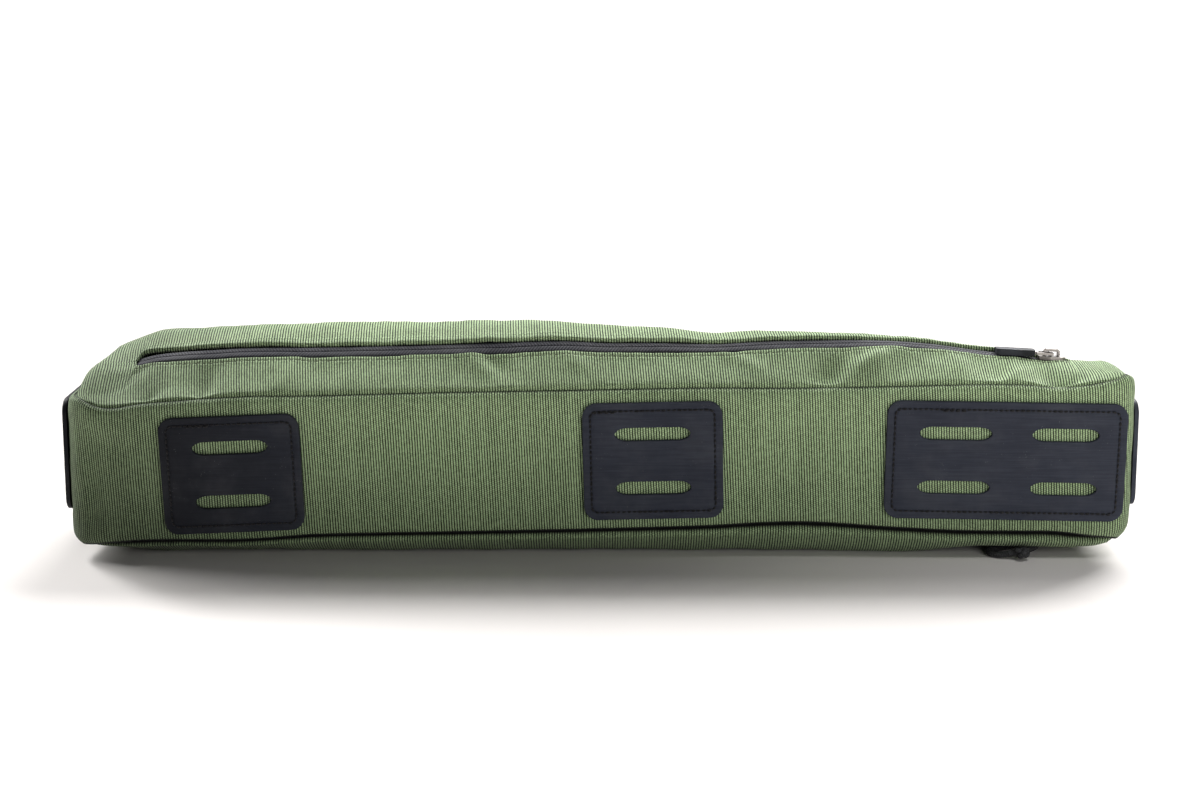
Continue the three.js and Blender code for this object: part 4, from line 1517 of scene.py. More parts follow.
@dataclass
class SidePanel:
    """A side panel of cloth with its zip let in."""

    level: Level
    form: BagForm
    finishes: Finishes
    zip_line: tuple[Span, ...]
    near_lip: Lip
    far_lip: Lip
    seed: int
    cloth: float = 1.2
    rim: float = 0.1
    rim_cloth: float = 0.5
    flat: Span = (0.128, 0.478)
    step: float = 1.9
    strip_rows: int = 9
    field_rows: int = 36
    slot: float = 9.0
    slot_start: float = 22.0
    slot_end_round: float = 3.0
    slot_least: float = 0.2
    stitch_clear: float = 1.2
    rear_gape: float = 0.0
    gape_reach: float = 60.0
    end_share: float = 0.31
    zip_ends: Span = (-3, 4)
    zip_stations: int = 300
    zip_clear: float = 0.6
    zip_thick: float = 0.8
    waves: Waves = Waves(0.35, 46, 0.12, 15, (0, 12), 0.22, 13, 0.3, 4.5, (0, 1.5))
    roll: float = 0.0
    roll_nose: float = 0.8
    roll_width: float = 8.0
    roll_ends: Span = (2, 26)
    fine_folds: tuple[Fold, ...] = ()
    fold_depth: float = 1.7
    fold_edge: Span = (0.5, 4)
    floor_gap: float = 0.25
    groove: float = 2.4
    groove_width: float = 1.8
    groove_ends: Span = (2, 16)
    swell: float = 0.0
    swell_reach: float = 10.0
    sag: float = 0.0
    sag_reach: float = 5.0
    swell_ends: Span = (5, 28)
    # Width and strength of the painted shade along the seams
    tuck: float = 0.5
    seam_shade: float = 0.5
    fan: float = 0.0
    lean: float = 0.0
    draw_reach: float = 45.0
    bend_ends: Span = (8, 30)

    def __post_init__(self) -> None:
        """Lay out stations along the panel and the zip's lines."""
        ends, slot = np.array(END_ROWS), self.slot_start + np.array(SLOT_ROWS)
        top = self.form.top_run
        middle = np.arange(END_CLEAR, top - END_CLEAR, self.step)
        clear = np.ones(len(middle), bool)
        for fixed in (slot, top - slot):
            clear &= np.abs(middle[:, None] - fixed[None]).min(1) > 0.5 * self.step
        self.run = np.sort(np.concatenate([ends, top - ends, slot, top - slot, middle[clear]]))
        self.up = 1 if self.level is Level.UPPER else -1
        self.near = column(self.zip_line)
        self.wide = self.form.across(self.level, self.run)[:, None]

    def from_ends(self, run: Array) -> Array:
        """Give the distance of each run from the nearer end."""
        return np.minimum(run, self.form.top_run - run)

    def facing(self, faces: list[Face]) -> list[Face]:
        """Turn faces outwards, which is down on the lower panel."""
        return faces if self.up > 0 else turned_over(faces)

    def zip_middle(self, run: Array) -> Array:
        """Give the distance from the top seam to the middle of the zip.

        Args:
            run: Runs along the top edge.

        Returns:
            Distances.
        """
        x = self.form.outline.on_edge(Edge.TOP, run / self.form.top_run)[0][:, 0]
        settled = smoothstep(self.from_ends(run), 0, self.slot_start)
        own = self.near(x) + self.slot / 2
        return own * settled + self.end_share * self.form.across(self.level, run) * (1 - settled)

    def half_slot(self, run: Array) -> Array:
        """Give half the width of the zip's slot, which is drawn together at its ends.

        Args:
            run: Runs along the top edge.

        Returns:
            Half widths.
        """
        t = np.clip(1 - (self.from_ends(run) - self.slot_start) / self.slot_end_round, 0, 1)
        gape = self.rear_gape * bell(np.maximum(0, run - self.slot_start), self.gape_reach)
        return np.maximum(self.slot_least, (self.slot / 2 + gape) * np.sqrt(1 - t * t))

    def rows(self) -> tuple[Array, int]:
        """Lay out the rows of the mesh.

        Returns:
            Their distances from the top seam at each station, and the row of the slot's near edge.
        """
        middle, half = self.zip_middle(self.run), self.half_slot(self.run)
        seam, lip = np.array(SEAM_ROWS), np.array(LIP_ROWS)
        near, far = (middle - half)[:, None], (middle + half)[:, None]
        strip = np.linspace(0, 1, self.strip_rows)[1:-1][None]
        main = np.linspace(0, 1, self.field_rows)[1:-1][None]
        strip_start, strip_end = seam[-1], near - lip[-1]
        main_start, main_end = far + lip[-1], self.wide - seam[-1]
        parts = [
            np.repeat(seam[None], len(self.run), 0),
            strip_start + (strip_end - strip_start) * strip,
            near - lip[::-1][None],
            far + lip[None],
            main_start + (main_end - main_start) * main,
            self.wide - seam[::-1][None],
        ]
        return np.concatenate(parts, 1), len(seam) + strip.shape[1] + len(lip) - 1

    def to_side(self, dist: Array) -> Array:
        """Give each point's distance from the nearer of the top and lower seams."""
        return np.minimum(dist, self.wide - dist)

    def to_edge(self, dist: Array) -> Array:
        """Give each point's distance from the nearest seam."""
        return np.minimum(self.to_side(dist), self.from_ends(self.run)[:, None])

    def surface(self) -> tuple[Array, Array, Array, int]:
        """Work out the cloth's outer side.

        Returns:
            Points, normals, row distances and the row of the slot's near edge.
        """
        dist, near_row = self.rows()
        points = self.form.panel(self.level, self.run, dist)
        normals = surface_normals(points) * self.up
        run, edge, ends = self.run[:, None], self.to_edge(dist), self.from_ends(self.run)[:, None]
        middle, half = self.zip_middle(self.run)[:, None], self.half_slot(self.run)[:, None]
        off = np.maximum(0, np.abs(dist - middle) - half)
        lip = np.where(dist < middle, self.near_lip.rise(off), self.far_lip.rise(off))
        lift = lip * smoothstep(ends - self.slot_start, *self.zip_ends)
        lift = lift + self.waves.lift(run, dist, edge, self.seed)
        rolled = (1 - bell(dist, self.roll_nose)) * bell(dist, self.roll_width)
        lift = lift + self.roll * rolled * smoothstep(ends, *self.roll_ends)
        away = normals.copy()
        if self.level is Level.LOWER:
            lift = np.minimum(lift, np.maximum(0, points[..., 2] - self.floor_gap))
            away[..., 2] = 0
            away = unit(away, 1e-6)
        dents = sum((fold.depth_at(points[..., 0], dist) for fold in self.fine_folds), np.zeros_like(dist))
        lift = lift - self.fold_depth * dents * smoothstep(edge, *self.fold_edge)
        tucked = self.groove * fall(edge, self.groove_width)
        tucked = tucked * smoothstep(np.maximum(self.to_side(dist), ends), *self.groove_ends)
        kept = smoothstep(ends, *self.swell_ends)
        swelled = self.swell * kept * bell(edge, self.swell_reach)
        points = points + normals * lift[..., None] + away * (swelled - tucked)[..., None]
        points[..., 2] -= self.sag * kept * bell(edge, self.sag_reach)
        return points, surface_normals(points) * self.up, dist, near_row

    def cloth_map(self, points: Array, dist: Array) -> Array:
        """Lay the cloth out flat. Its ribs run across the panel, and may fan out and lean from the top seam.

        Args:
            points: Points of the outer side.
            dist: Their distances from the top seam.

        Returns:
            Places along and across the flat cloth.
        """
        count, rows = dist.shape
        steps = np.diff(points, axis=0)
        middle_run = (self.run[1:] + self.run[:-1])[:, None] / 2
        bent = 1 - smoothstep(self.from_ends(middle_run), *self.bend_ends)
        lengths = np.sqrt(steps[..., 0] ** 2 + bent * (steps[..., 1] ** 2 + steps[..., 2] ** 2))
        along = np.concatenate([np.zeros((1, rows)), np.cumsum(lengths, 0)])
        along = along - along[count // 2] + points[count // 2, :, 0]
        drawn = self.draw_reach * (1 - np.exp(-dist / self.draw_reach))
        along = along * (1 - self.fan * drawn) + self.lean * drawn
        widths = np.linalg.norm(np.diff(points, axis=1), axis=2)
        across = np.concatenate([np.zeros((count, 1)), np.cumsum(widths, 1)], 1)
        return np.stack([along, across], -1)

    def build(self) -> Piece:
        """Build the panel of cloth.

        Returns:
            The piece.
        """
        points, normals, dist, near_row = self.surface()
        ends = self.from_ends(self.run)

        def cloth(i: int, j: int) -> bool:
            """Say whether a cell is cloth, not the zip's slot."""
            return j != near_row or min(ends[i], ends[i + 1]) < self.slot_start - self.rim

        faces = self.facing(grid_faces(*dist.shape, cloth))
        edge = self.to_edge(dist)
        inner = points - normals * np.where(edge < self.rim, self.rim_cloth, self.cloth)[..., None]
        name, uv = self.level.value, self.cloth_map(points, dist)
        # The tuck attribute carries the painted seam shade
        piece = make_sheet(f"{name}_cloth", points, inner, faces, uv, self.seam_shade * bell(edge, self.tuck))
        settle(piece, self.finishes.cloth, "cloth", f"{name}_panel")
        return piece

    def build_zip(self) -> Piece:
        """Build the zip: two tapes and the coated chain, with its parting line.

        Returns:
            The piece.
        """
        span = self.form.top_run - 2 * self.slot_start
        run = self.slot_start + np.linspace(self.zip_clear, span - self.zip_clear, self.zip_stations)
        off = np.array([*(-row for row in reversed(ZIP_ROWS)), *ZIP_ROWS])
        depth = np.interp(np.abs(off), *np.array(ZIP_DEPTHS).T)
        dist = self.zip_middle(run)[:, None] + off[None]
        base = self.form.panel(self.level, run, dist)
        normals = surface_normals(base) * self.up
        points = base - normals * depth[None, :, None]
        faces = self.facing(grid_faces(*dist.shape))
        uv = np.stack(np.broadcast_arrays(run[:, None], off[None]), -1)
        name = self.level.value
        piece = make_sheet(f"{name}_zip_chain", points, points - normals * self.zip_thick, faces, uv)
        return settle(piece, self.finishes.zip, "zip", f"{name}_zip")

    def stitch_lines(self, rows: StitchRows) -> None:
        """Add the topstitching on the folded edge next to the top seam.

        Args:
            rows: The rows to add to.
        """
        points, normals, _, near_row = self.surface()
        kept = self.from_ends(self.run) - self.slot_start > self.stitch_clear
        at = float(np.interp(self.near_lip.stitch, LIP_ROWS, np.arange(len(LIP_ROWS))))
        low, share = near_row - int(at), at - int(at)
        path = points[kept, low] * (1 - share) + points[kept, low - 1] * share
        rows.add(path, normals[kept, low])


@dataclass
class Gusset:
    """The band of cloth right round the bag."""

    form: BagForm
    finishes: Finishes
    patches: Sequence["AnchorPatch"]
    cloth: float = 1.2
    rim_rows: int = 2
    rim_cloth: float = 0.35
    flat_width: float = 0.078
    step: float = 2.0
    # Drops of the rows next to a seam. Rows below 0 are rolled in past it.
    rolls: tuple[float, ...] = (-0.9, -0.3, 0, 0.25, 0.6, 1.1, 1.8, 2.7, 3.8, 5.2, 7.0)
    roll: float = 1.6
    wall_rows: int = 30
    shoulder: float = 6.5
    shoulder_in: float = 1.2
    seam_reach: float = 1.8
    seam_in: float = 2.0
    hem: float = 1.5
    # Strength and width of the painted shade along the upper and the lower seam
    upper_seam_shade: Span = (0.5, 0.4)
    lower_seam_shade: Span = (1.0, 0.6)
    lean: float = 0.05
    dents: tuple[Fold, ...] = (
        Fold(-230, 34, 6, 24, 0, 3.2), Fold(-221, 54, 11, 4, -35, 1.6), Fold(-214, 30, 4, 26, -6, -0.9),
    )
    dent_depth: Span = (2, 14)
    waves: Waves = Waves(0.28, 42, 0.1, 13, (2, 14), 0.3, 12, 0.25, 5, (0.3, 2))
    pressed: float = 0.12
    seed: int = 40

    def build(self) -> Piece:
        """Build the band.

        Returns:
            The piece.
        """
        outline = self.form.outline
        count = round(outline.length / self.step)
        along = np.arange(count) * outline.length / count
        run = outline.marks[0] + along
        plan, out = outline.at_run(run)
        stretch = self.form.inset(Level.LOWER, plan[:, 0]) / self.form.seam_inset
        z, inset, tuck = self.section(*self.seam_heights(run, plan), stretch[:, None])
        inset = inset - self.relief(run, plan, z)
        points = np.concatenate([plan[:, None] - out[:, None] * inset[..., None], z[..., None]], -1)
        thick = np.full(len(tuck), self.cloth)
        thick[: self.rim_rows] = thick[-self.rim_rows :] = self.rim_cloth
        inner = points - np.concatenate([out, np.zeros((count, 1))], 1)[:, None] * thick[None, :, None]
        faces = turned_over(grid_faces(*z.shape, wrap=True))
        uv = np.stack([along[:, None] + self.lean * z, z], -1)
        piece = make_sheet("gusset_cloth", points, inner, faces, uv, np.tile(tuck, count))
        self.close_uv(piece, outline.length / MM)
        settle(piece, self.finishes.cloth, "cloth", "gusset")
        return piece

    def seam_heights(self, run: Array, plan: Array) -> tuple[Array, Array]:
        """Find the two seams.

        Args:
            run: Runs round the outline.
            plan: Plan points.

        Returns:
            Heights of the upper and of the lower seam, as columns.
        """
        outline = self.form.outline
        share = np.zeros(len(run))
        x = plan[:, 0].copy()
        for edge, toward in ((Edge.FRONT, 1), (Edge.LOW, 0), (Edge.REAR, -1)):
            start, end = outline.span(edge)
            at = np.mod(run - start, outline.length)
            on = at <= end - start
            part = at / (end - start)
            share = np.where(on, 1.0 if toward == 0 else part if toward > 0 else 1 - part, share)
            corner = outline.on_edge(Edge.TOP, np.array(1.0 if toward > 0 else 0.0))[0][0]
            x = np.where(on & (toward != 0), corner, x)
        upper, lower = (self.form.seam(level, x, share)[:, None] for level in Level)
        return upper, lower

    def section(self, upper: Array, lower: Array, stretch: Array) -> tuple[Array, Array, Array]:
        """Lay out the rows of the wall from the upper seam to the lower one.

        Args:
            upper: Heights of the upper seam.
            lower: Heights of the lower seam.
            stretch: How much deeper than elsewhere the lower edge turns in.

        Returns:
            Heights and insets of the rows at each run, and how far each row is tucked into a seam, which sets
            the painted seam shade.
        """
        rolls = np.array(self.rolls)
        held, rolled = np.maximum(rolls, 0), np.maximum(-rolls, 0)
        shares = np.linspace(0, 1, self.wall_rows)[1:-1]
        top_z = upper - held - rolled * self.roll
        low_z = lower + held * stretch + rolled * self.roll
        wall_z = (upper - rolls[-1]) * (1 - shares) + (lower + rolls[-1] * stretch) * shares
        turned = self.shoulder_in * fall(held, self.shoulder)
        turned = turned + self.seam_in * fall(held, self.seam_reach) + rolled
        under = self.form.seam_inset * (stretch - 1) * fall(held, self.shoulder, power=3)
        hemmed = under + self.hem * fall(held, 2 * self.hem) + rolled
        # Painted shade along the two seams
        creases = (self.upper_seam_shade, self.lower_seam_shade)
        top_tuck, low_tuck = (most * bell(held, width) for most, width in creases)
        z = np.concatenate([top_z, wall_z, low_z[:, ::-1]], 1)
        inset = np.concatenate([np.tile(turned, (len(z), 1)), np.zeros_like(wall_z), hemmed[:, ::-1]], 1)
        return z, inset, np.concatenate([top_tuck, np.zeros(len(shares)), low_tuck[::-1]])

    def relief(self, run: Array, plan: Array, z: Array) -> Array:
        """Work out how far the cloth stands out: waves, puckers, dents, and pressed flat under the anchors.

        Args:
            run: Runs round the outline.
            plan: Plan points.
            z: Heights of the rows.

        Returns:
            Distances outwards.
        """
        upper, lower = self.seam_heights(run, plan)
        edge = np.minimum(upper - z, z - lower)
        wave = self.waves.lift((run - self.form.outline.marks[0])[:, None], z, edge, self.seed)
        under = np.max([patch.cover(plan, z) for patch in self.patches], 0)
        folded = sum(fold.depth_at(plan[:, :1], z) for fold in self.dents)
        folded = folded * smoothstep(edge, *self.waves.free) * (1 - smoothstep(plan[:, 1:], *self.dent_depth))
        return (wave - folded) * (1 - under) - self.pressed * under

    def close_uv(self, piece: Piece, length: float) -> None:
        """Carry the cloth coordinates of the last faces past the join instead of back to the start.

        Args:
            piece: The band.
            length: Its length in metres.
        """
        layer = piece.data.uv_layers["cloth"].data
        for polygon in piece.data.polygons:
            loops = list(polygon.loop_indices)
            across = [layer[k].uv.x for k in loops]
            if max(across) - min(across) > length / 2:
                for k in loops:
                    if layer[k].uv.x < length / 2:
                        layer[k].uv.x += length


# Strap anchors

LOOP_LEAST = 12
CORNER_LEAST = 4
SLOT_END_POINTS = 17


def rounded_box(wide: float, tall: float, radius: float, step: float) -> Array:
    """Give the points of a rounded rectangle, counter-clockwise.

    Args:
        wide: Its width.
        tall: Its height.
        radius: Its corner radius.
        step: Usual distance between points.

    Returns:
        Points round it.
    """
    x, y = wide / 2 - radius, tall / 2 - radius
    turns = max(CORNER_LEAST, round(radius * math.pi / 2 / step))
    points = []
    for k, (cx, cy) in enumerate(((x, -y), (x, y), (-x, y), (-x, -y))):
        angle = np.linspace(-math.pi / 2, 0, turns + 1) + k * math.pi / 2
        points.append(np.stack([cx + radius * np.cos(angle), cy + radius * np.sin(angle)], 1))
    return evened(np.concatenate([*points, points[0][:1]]), step, LOOP_LEAST, closed=True)


def strap_slot(at: Span, long: float, high: float, grow: float, step: float) -> Array:
    """Give the points of a strap slot with long rounded ends.

    Args:
        at: Its middle.
        long: Its length.
        high: Its height.
        grow: How much wider the loop is than the slot.
        step: Usual distance between points.

    Returns:
        Points round it.
    """
    angle = np.linspace(-math.pi / 2, math.pi / 2, SLOT_END_POINTS)
    reach, half = high + grow, high / 2 + grow
    right = np.stack([long / 2 - high + reach * np.cos(angle), half * np.sin(angle)], 1)
    return evened(np.concatenate([right, -right, right[:1]]) + np.array(at), step, LOOP_LEAST, closed=True)


@dataclass
class AnchorPatch:
    """A stitched black strap anchor with slots above and below its middle."""

    form: BagForm
    finishes: Finishes
    name: str
    edge: Edge
    along: float
    up: float
    wide: float
    tall: float
    turn: float
    slots: tuple[Span, ...]
    seed: int
    tacks: tuple[float, ...] = ()
    corner: float = 6.5
    rows: float = 25.0
    slot_high: float = 6.0
    bevel: float = 0.4
    sharp: float = 50.0
    mesh_step: float = 1.3
    edge_rings: tuple[float, ...] = (0.06, 0.2, 0.45)
    stitch_rings: tuple[float, ...] = (2.9, 3.6, 4.3)
    grid_step: float = 3.2
    grid_margin: float = 11.0
    grid_clear: float = 1.6
    cut_inside: int = 1
    cut_least: float = 1e-5
    stitch_inset: float = 3.6
    stitch_depth: float = 0.3
    stitch_width: float = 0.6
    stitch_step: float = 0.8
    stitch_off: float = 0.05
    tack_half: float = 4.0
    tack_inset: float = 0.55
    tack_points: int = 9
    slot_dip: float = 0.18
    slot_dip_reach: float = 1.6
    wave: float = 0.12
    wave_length: float = 30.0
    wave_edge: Span = (0, 6)
    cover_edge: Span = (-1.5, 2)
    cover_depth: float = 12.0

    def __post_init__(self) -> None:
        """Find where the anchor lies."""
        corners = self.form.outline.corners
        start, after = (np.array([*corners[(self.edge.value + k) % len(corners)][:2], 0.0]) for k in (0, 1))
        run, rise = unit(after - start), np.array([0, 0, 1.0])
        self.out = np.cross(run, rise)
        far = self.along - corners[0][0] if self.edge is Edge.TOP else self.along
        self.origin = start + run * far + rise * self.up
        turn = math.radians(self.turn)
        self.right = run * math.cos(turn) + rise * math.sin(turn)
        self.rise = rise * math.cos(turn) - run * math.sin(turn)

    def place(self, flat: Array, off: Array) -> Array:
        """Turn points of the anchor's plane, with their height off the cloth, into points of the part."""
        spot = self.origin + flat[..., :1] * self.right + flat[..., 1:] * self.rise
        return spot + (ANCHOR_GAP + off)[..., None] * self.out

    def cover(self, plan: Array, z: Array) -> Array:
        """Say how far each point of the gusset lies under the anchor.

        Args:
            plan: Plan points of the gusset.
            z: Heights of its rows.

        Returns:
            Shares from 0 outside to 1.
        """
        spot = np.concatenate([np.repeat(plan[:, None], z.shape[1], 1), z[..., None]], -1) - self.origin
        x, y, off = spot @ self.right, spot @ self.rise, spot @ self.out
        reach = np.maximum(np.abs(x) - self.wide / 2, np.abs(y) - self.tall / 2)
        return smoothstep(-reach, *self.cover_edge) * (np.abs(off) < self.cover_depth)

    def ring(self, inset: float, step: float) -> Array:
        """Give the anchor's outline, drawn in by a distance."""
        return rounded_box(self.wide - 2 * inset, self.tall - 2 * inset, self.corner - inset, step)

    def slot_spots(self) -> list[Triple]:
        """Give the middle and length of each slot."""
        return [(at, side * self.rows / 2, long) for at, long in self.slots for side in (-1, 1)]

    def slot_loops(self, grow: float) -> list[Array]:
        """Give the loops of all the slots, grown by a distance."""
        spots = self.slot_spots()
        return [strap_slot((x, y), long, self.slot_high, grow, self.mesh_step) for x, y, long in spots]

    def face(self) -> tuple[Array, list[Face]]:
        """Cut the anchor's face into triangles, with close rings along its edges and its stitch line.

        Returns:
            Flat points and faces.
        """
        loops = [self.ring(0, self.mesh_step), *self.slot_loops(0)]
        loops += [self.ring(inset, self.mesh_step) for inset in (*self.edge_rings, *self.stitch_rings)]
        for grow in self.edge_rings:
            loops += self.slot_loops(grow)
        sides = [
            np.linspace(-0.5, 0.5, round(size / self.grid_step)) * (size - self.grid_margin)
            for size in (self.wide, self.tall)
        ]
        grid = np.stack(np.meshgrid(*sides), -1).reshape(-1, 2)
        clear = np.ones(len(grid), bool)
        for x, y, long in self.slot_spots():
            beside = np.abs(grid[:, 0] - x) > long / 2 + self.grid_clear
            clear &= beside | (np.abs(grid[:, 1] - y) > self.slot_high / 2 + self.grid_clear)
        edges, start = [], 0
        for loop in loops:
            edges += [(start + k, start + (k + 1) % len(loop)) for k in range(len(loop))]
            start += len(loop)
        points = np.concatenate([*loops, grid[clear]])
        spots, _, faces, *_ = delaunay_2d_cdt(
            [Vector(p) for p in points.tolist()], edges, [], self.cut_inside, self.cut_least
        )
        flat = np.array([tuple(p) for p in spots])
        _, _, cut = self.edge_distance(np.array([flat[list(f)].mean(0) for f in faces]))
        return flat, [tuple(f) for f, gone in zip(faces, cut) if not gone]

    def edge_distance(self, flat: Array) -> tuple[Array, Array, Array]:
        """Measure flat points against the anchor's edges.

        Args:
            flat: Points of the anchor's plane.

        Returns:
            Distances inside the outer edge and outside the nearest slot, and whether each point is in a slot.
        """
        q = np.abs(flat) - np.array([self.wide / 2 - self.corner, self.tall / 2 - self.corner])
        outer = self.corner - np.linalg.norm(np.maximum(q, 0), axis=1) - np.minimum(q.max(1), 0)
        slot, inside = np.full(len(flat), np.inf), np.zeros(len(flat), bool)
        end, half = self.slot_high, self.slot_high / 2
        for at, height, long in self.slot_spots():
            x = np.maximum(np.abs(flat[:, 0] - at) - (long / 2 - end), 0)
            y = np.abs(flat[:, 1] - height)
            k = np.sqrt((x / end) ** 2 + (y / half) ** 2)
            slope = np.sqrt((x / end**2) ** 2 + (y / half**2) ** 2)
            slot = np.minimum(slot, k * (k - 1) / np.maximum(slope, 1e-6))
            inside |= k < 1
        return outer, slot, inside

    def relief(self, flat: Array) -> Array:
        """Work out the face's height: rounded edges, a sewn channel and slight waves.

        Args:
            flat: Points of the anchor's plane.

        Returns:
            Heights over the anchor's back.
        """
        outer, slot, _ = self.edge_distance(flat)
        edge = np.minimum(outer, slot)
        shy = self.bevel - np.clip(edge, 0, self.bevel)
        rounded = self.bevel - np.sqrt(np.maximum(0, self.bevel**2 - shy**2))
        sewn = self.stitch_depth * bell(outer - self.stitch_inset, self.stitch_width)
        dip = self.slot_dip * np.exp(-slot / self.slot_dip_reach)
        wave = self.wave * ripple(flat[:, 0], flat[:, 1], self.wave_length, self.seed)
        return ANCHOR_THICK - rounded - sewn - dip + wave * smoothstep(edge, *self.wave_edge)

    def build(self) -> Piece:
        """Build the anchor.

        Returns:
            The piece.
        """
        flat, faces = self.face()
        top = self.place(flat, self.relief(flat))
        base = self.place(flat, np.zeros(len(flat)))
        a, b, c = top[list(faces[0][:3])]
        if np.cross(b - a, c - a) @ self.out < 0:
            faces = turned_over(faces)
        piece = make_sheet(f"anchor_{self.name}", top, base, faces)
        piece.data.set_sharp_from_angle(angle=math.radians(self.sharp))
        return settle(piece, self.finishes.anchor, "anchor", f"anchor_patch_{self.name}")

    def stitch_lines(self, rows: StitchRows) -> None:
        """Add the row of stitches round the anchor, and the doubled ones where it starts.

        Args:
            rows: The rows to add to.
        """
        loop = self.ring(self.stitch_inset, self.stitch_step)
        lines = [np.concatenate([loop, loop[:1]])]
        for at in self.tacks:
            along = np.linspace(at - self.tack_half, at + self.tack_half, self.tack_points)
            height = self.tall / 2 - self.stitch_inset - self.tack_inset
            lines.append(np.stack([along, np.full(len(along), height)], 1))
        for line in lines:
            points = self.place(line, self.relief(line) + self.stitch_off)
            rows.add(points, np.repeat(self.out[None], len(line), 0))


# Pulls


@dataclass
class CordPull:
    """Black cord looped through the lower slider and tied in a knot."""

    finishes: Finishes
    diameter: float = 3.0
    slack: float = 0.05
    step: float = 0.8
    sides: int = 14
    braid_turns: float = 4.0
    knot: Triple = (191.8, 3.6, 3.8)
    knot_scale: Triple = (0.82, 0.72, 0.8)
    knot_rise: float = 1.2
    knot_radius: float = 1.45
    knot_sides: int = 12
    knot_points: int = 97
    knot_length: float = 0.04
    # The cord from the slider, through the knot and back to the slider
    route: tuple[Triple, ...] = (
        (196.4, 26.0, 2.4), (192.5, 25.0, 2.1), (188.4, 22.0, 1.8), (184.4, 19.6, 1.7), (181.0, 18.3, 1.6),
        (178.6, 16.0, 1.6), (177.8, 13.0, 1.6), (178.8, 10.0, 1.6), (181.4, 7.8, 1.7), (184.6, 6.5, 2.2),
        (188.2, 5.4, 3.3), (190.6, 4.6, 3.7), (192.6, 5.4, 3.8), (193.6, 7.6, 3.6), (195.0, 10.5, 3.0),
        (196.8, 14.0, 2.5), (198.8, 17.4, 2.2), (200.8, 20.6, 2.1),
    )

    def braided(self, name: str, path: Array, run: Array, radius: float, sides: int) -> Piece:
        """Make a length of braided cord.

        Args:
            name: Name of the piece.
            path: Points along its middle, in the part's millimetres.
            run: Run along the braid at each point, in metres.
            radius: Its radius.
            sides: Faces round it.

        Returns:
            The piece.
        """
        points, faces = tube(path, radius, sides)
        around = np.arange(sides) / sides * self.braid_turns
        uv = np.stack([np.repeat(run, sides), np.tile(around, len(path))], 1)
        return add_object(name, make_mesh(name, ROW.metres(points), faces, uv))

    def build(self) -> Piece:
        """Returns:
            The cord.
        """
        path = smooth_path(self.route, self.step)
        run = np.arange(len(path)) * self.step / MM
        cord = self.braided("pull_cord", path, run, self.diameter / 2 - self.slack, self.sides)
        settle(cord, self.finishes.cord, "cord", "pull_cord_out", "pull_cord_back")
        knot = self.build_knot()
        metres = ROW.metres(path)
        return cord

    def build_knot(self) -> Piece:
        """Build the knot: the cord wound over itself in three lobes.

        Returns:
            The knot.
        """
        t = np.linspace(0, 2 * math.pi, self.knot_points)
        x, y = np.sin(t) + 2 * np.sin(2 * t), np.cos(t) - 2 * np.cos(2 * t)
        wound = np.stack([x, y, -self.knot_rise * np.sin(3 * t)], 1)
        path = np.array(self.knot) + wound * np.array(self.knot_scale)
        run = np.linspace(0, self.knot_length, len(path))
        piece = self.braided("pull_cord_knot", path, run, self.knot_radius, self.knot_sides)
        return settle(piece, self.finishes.cord, "cord", "pull_knot")


@dataclass
class Pulls:
    """Metal sliders and the swinging pull, as the frame has them."""

    finishes: Finishes
    metal: tuple[str, ...] = ("upper_slider", "lower_slider", "pull_link")
    tab: str = "pull_tab"

    def dress(self) -> None:
        """Give the carried-over nodes their finishes."""
        for node in (*self.metal, self.tab):
            material = self.finishes.metal if node in self.metal else self.finishes.tab
            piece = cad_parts[node]
            piece.data.materials.clear()
            piece.data.materials.append(material)
            log.info("%s: finish %s", node, material.name)


# Studio


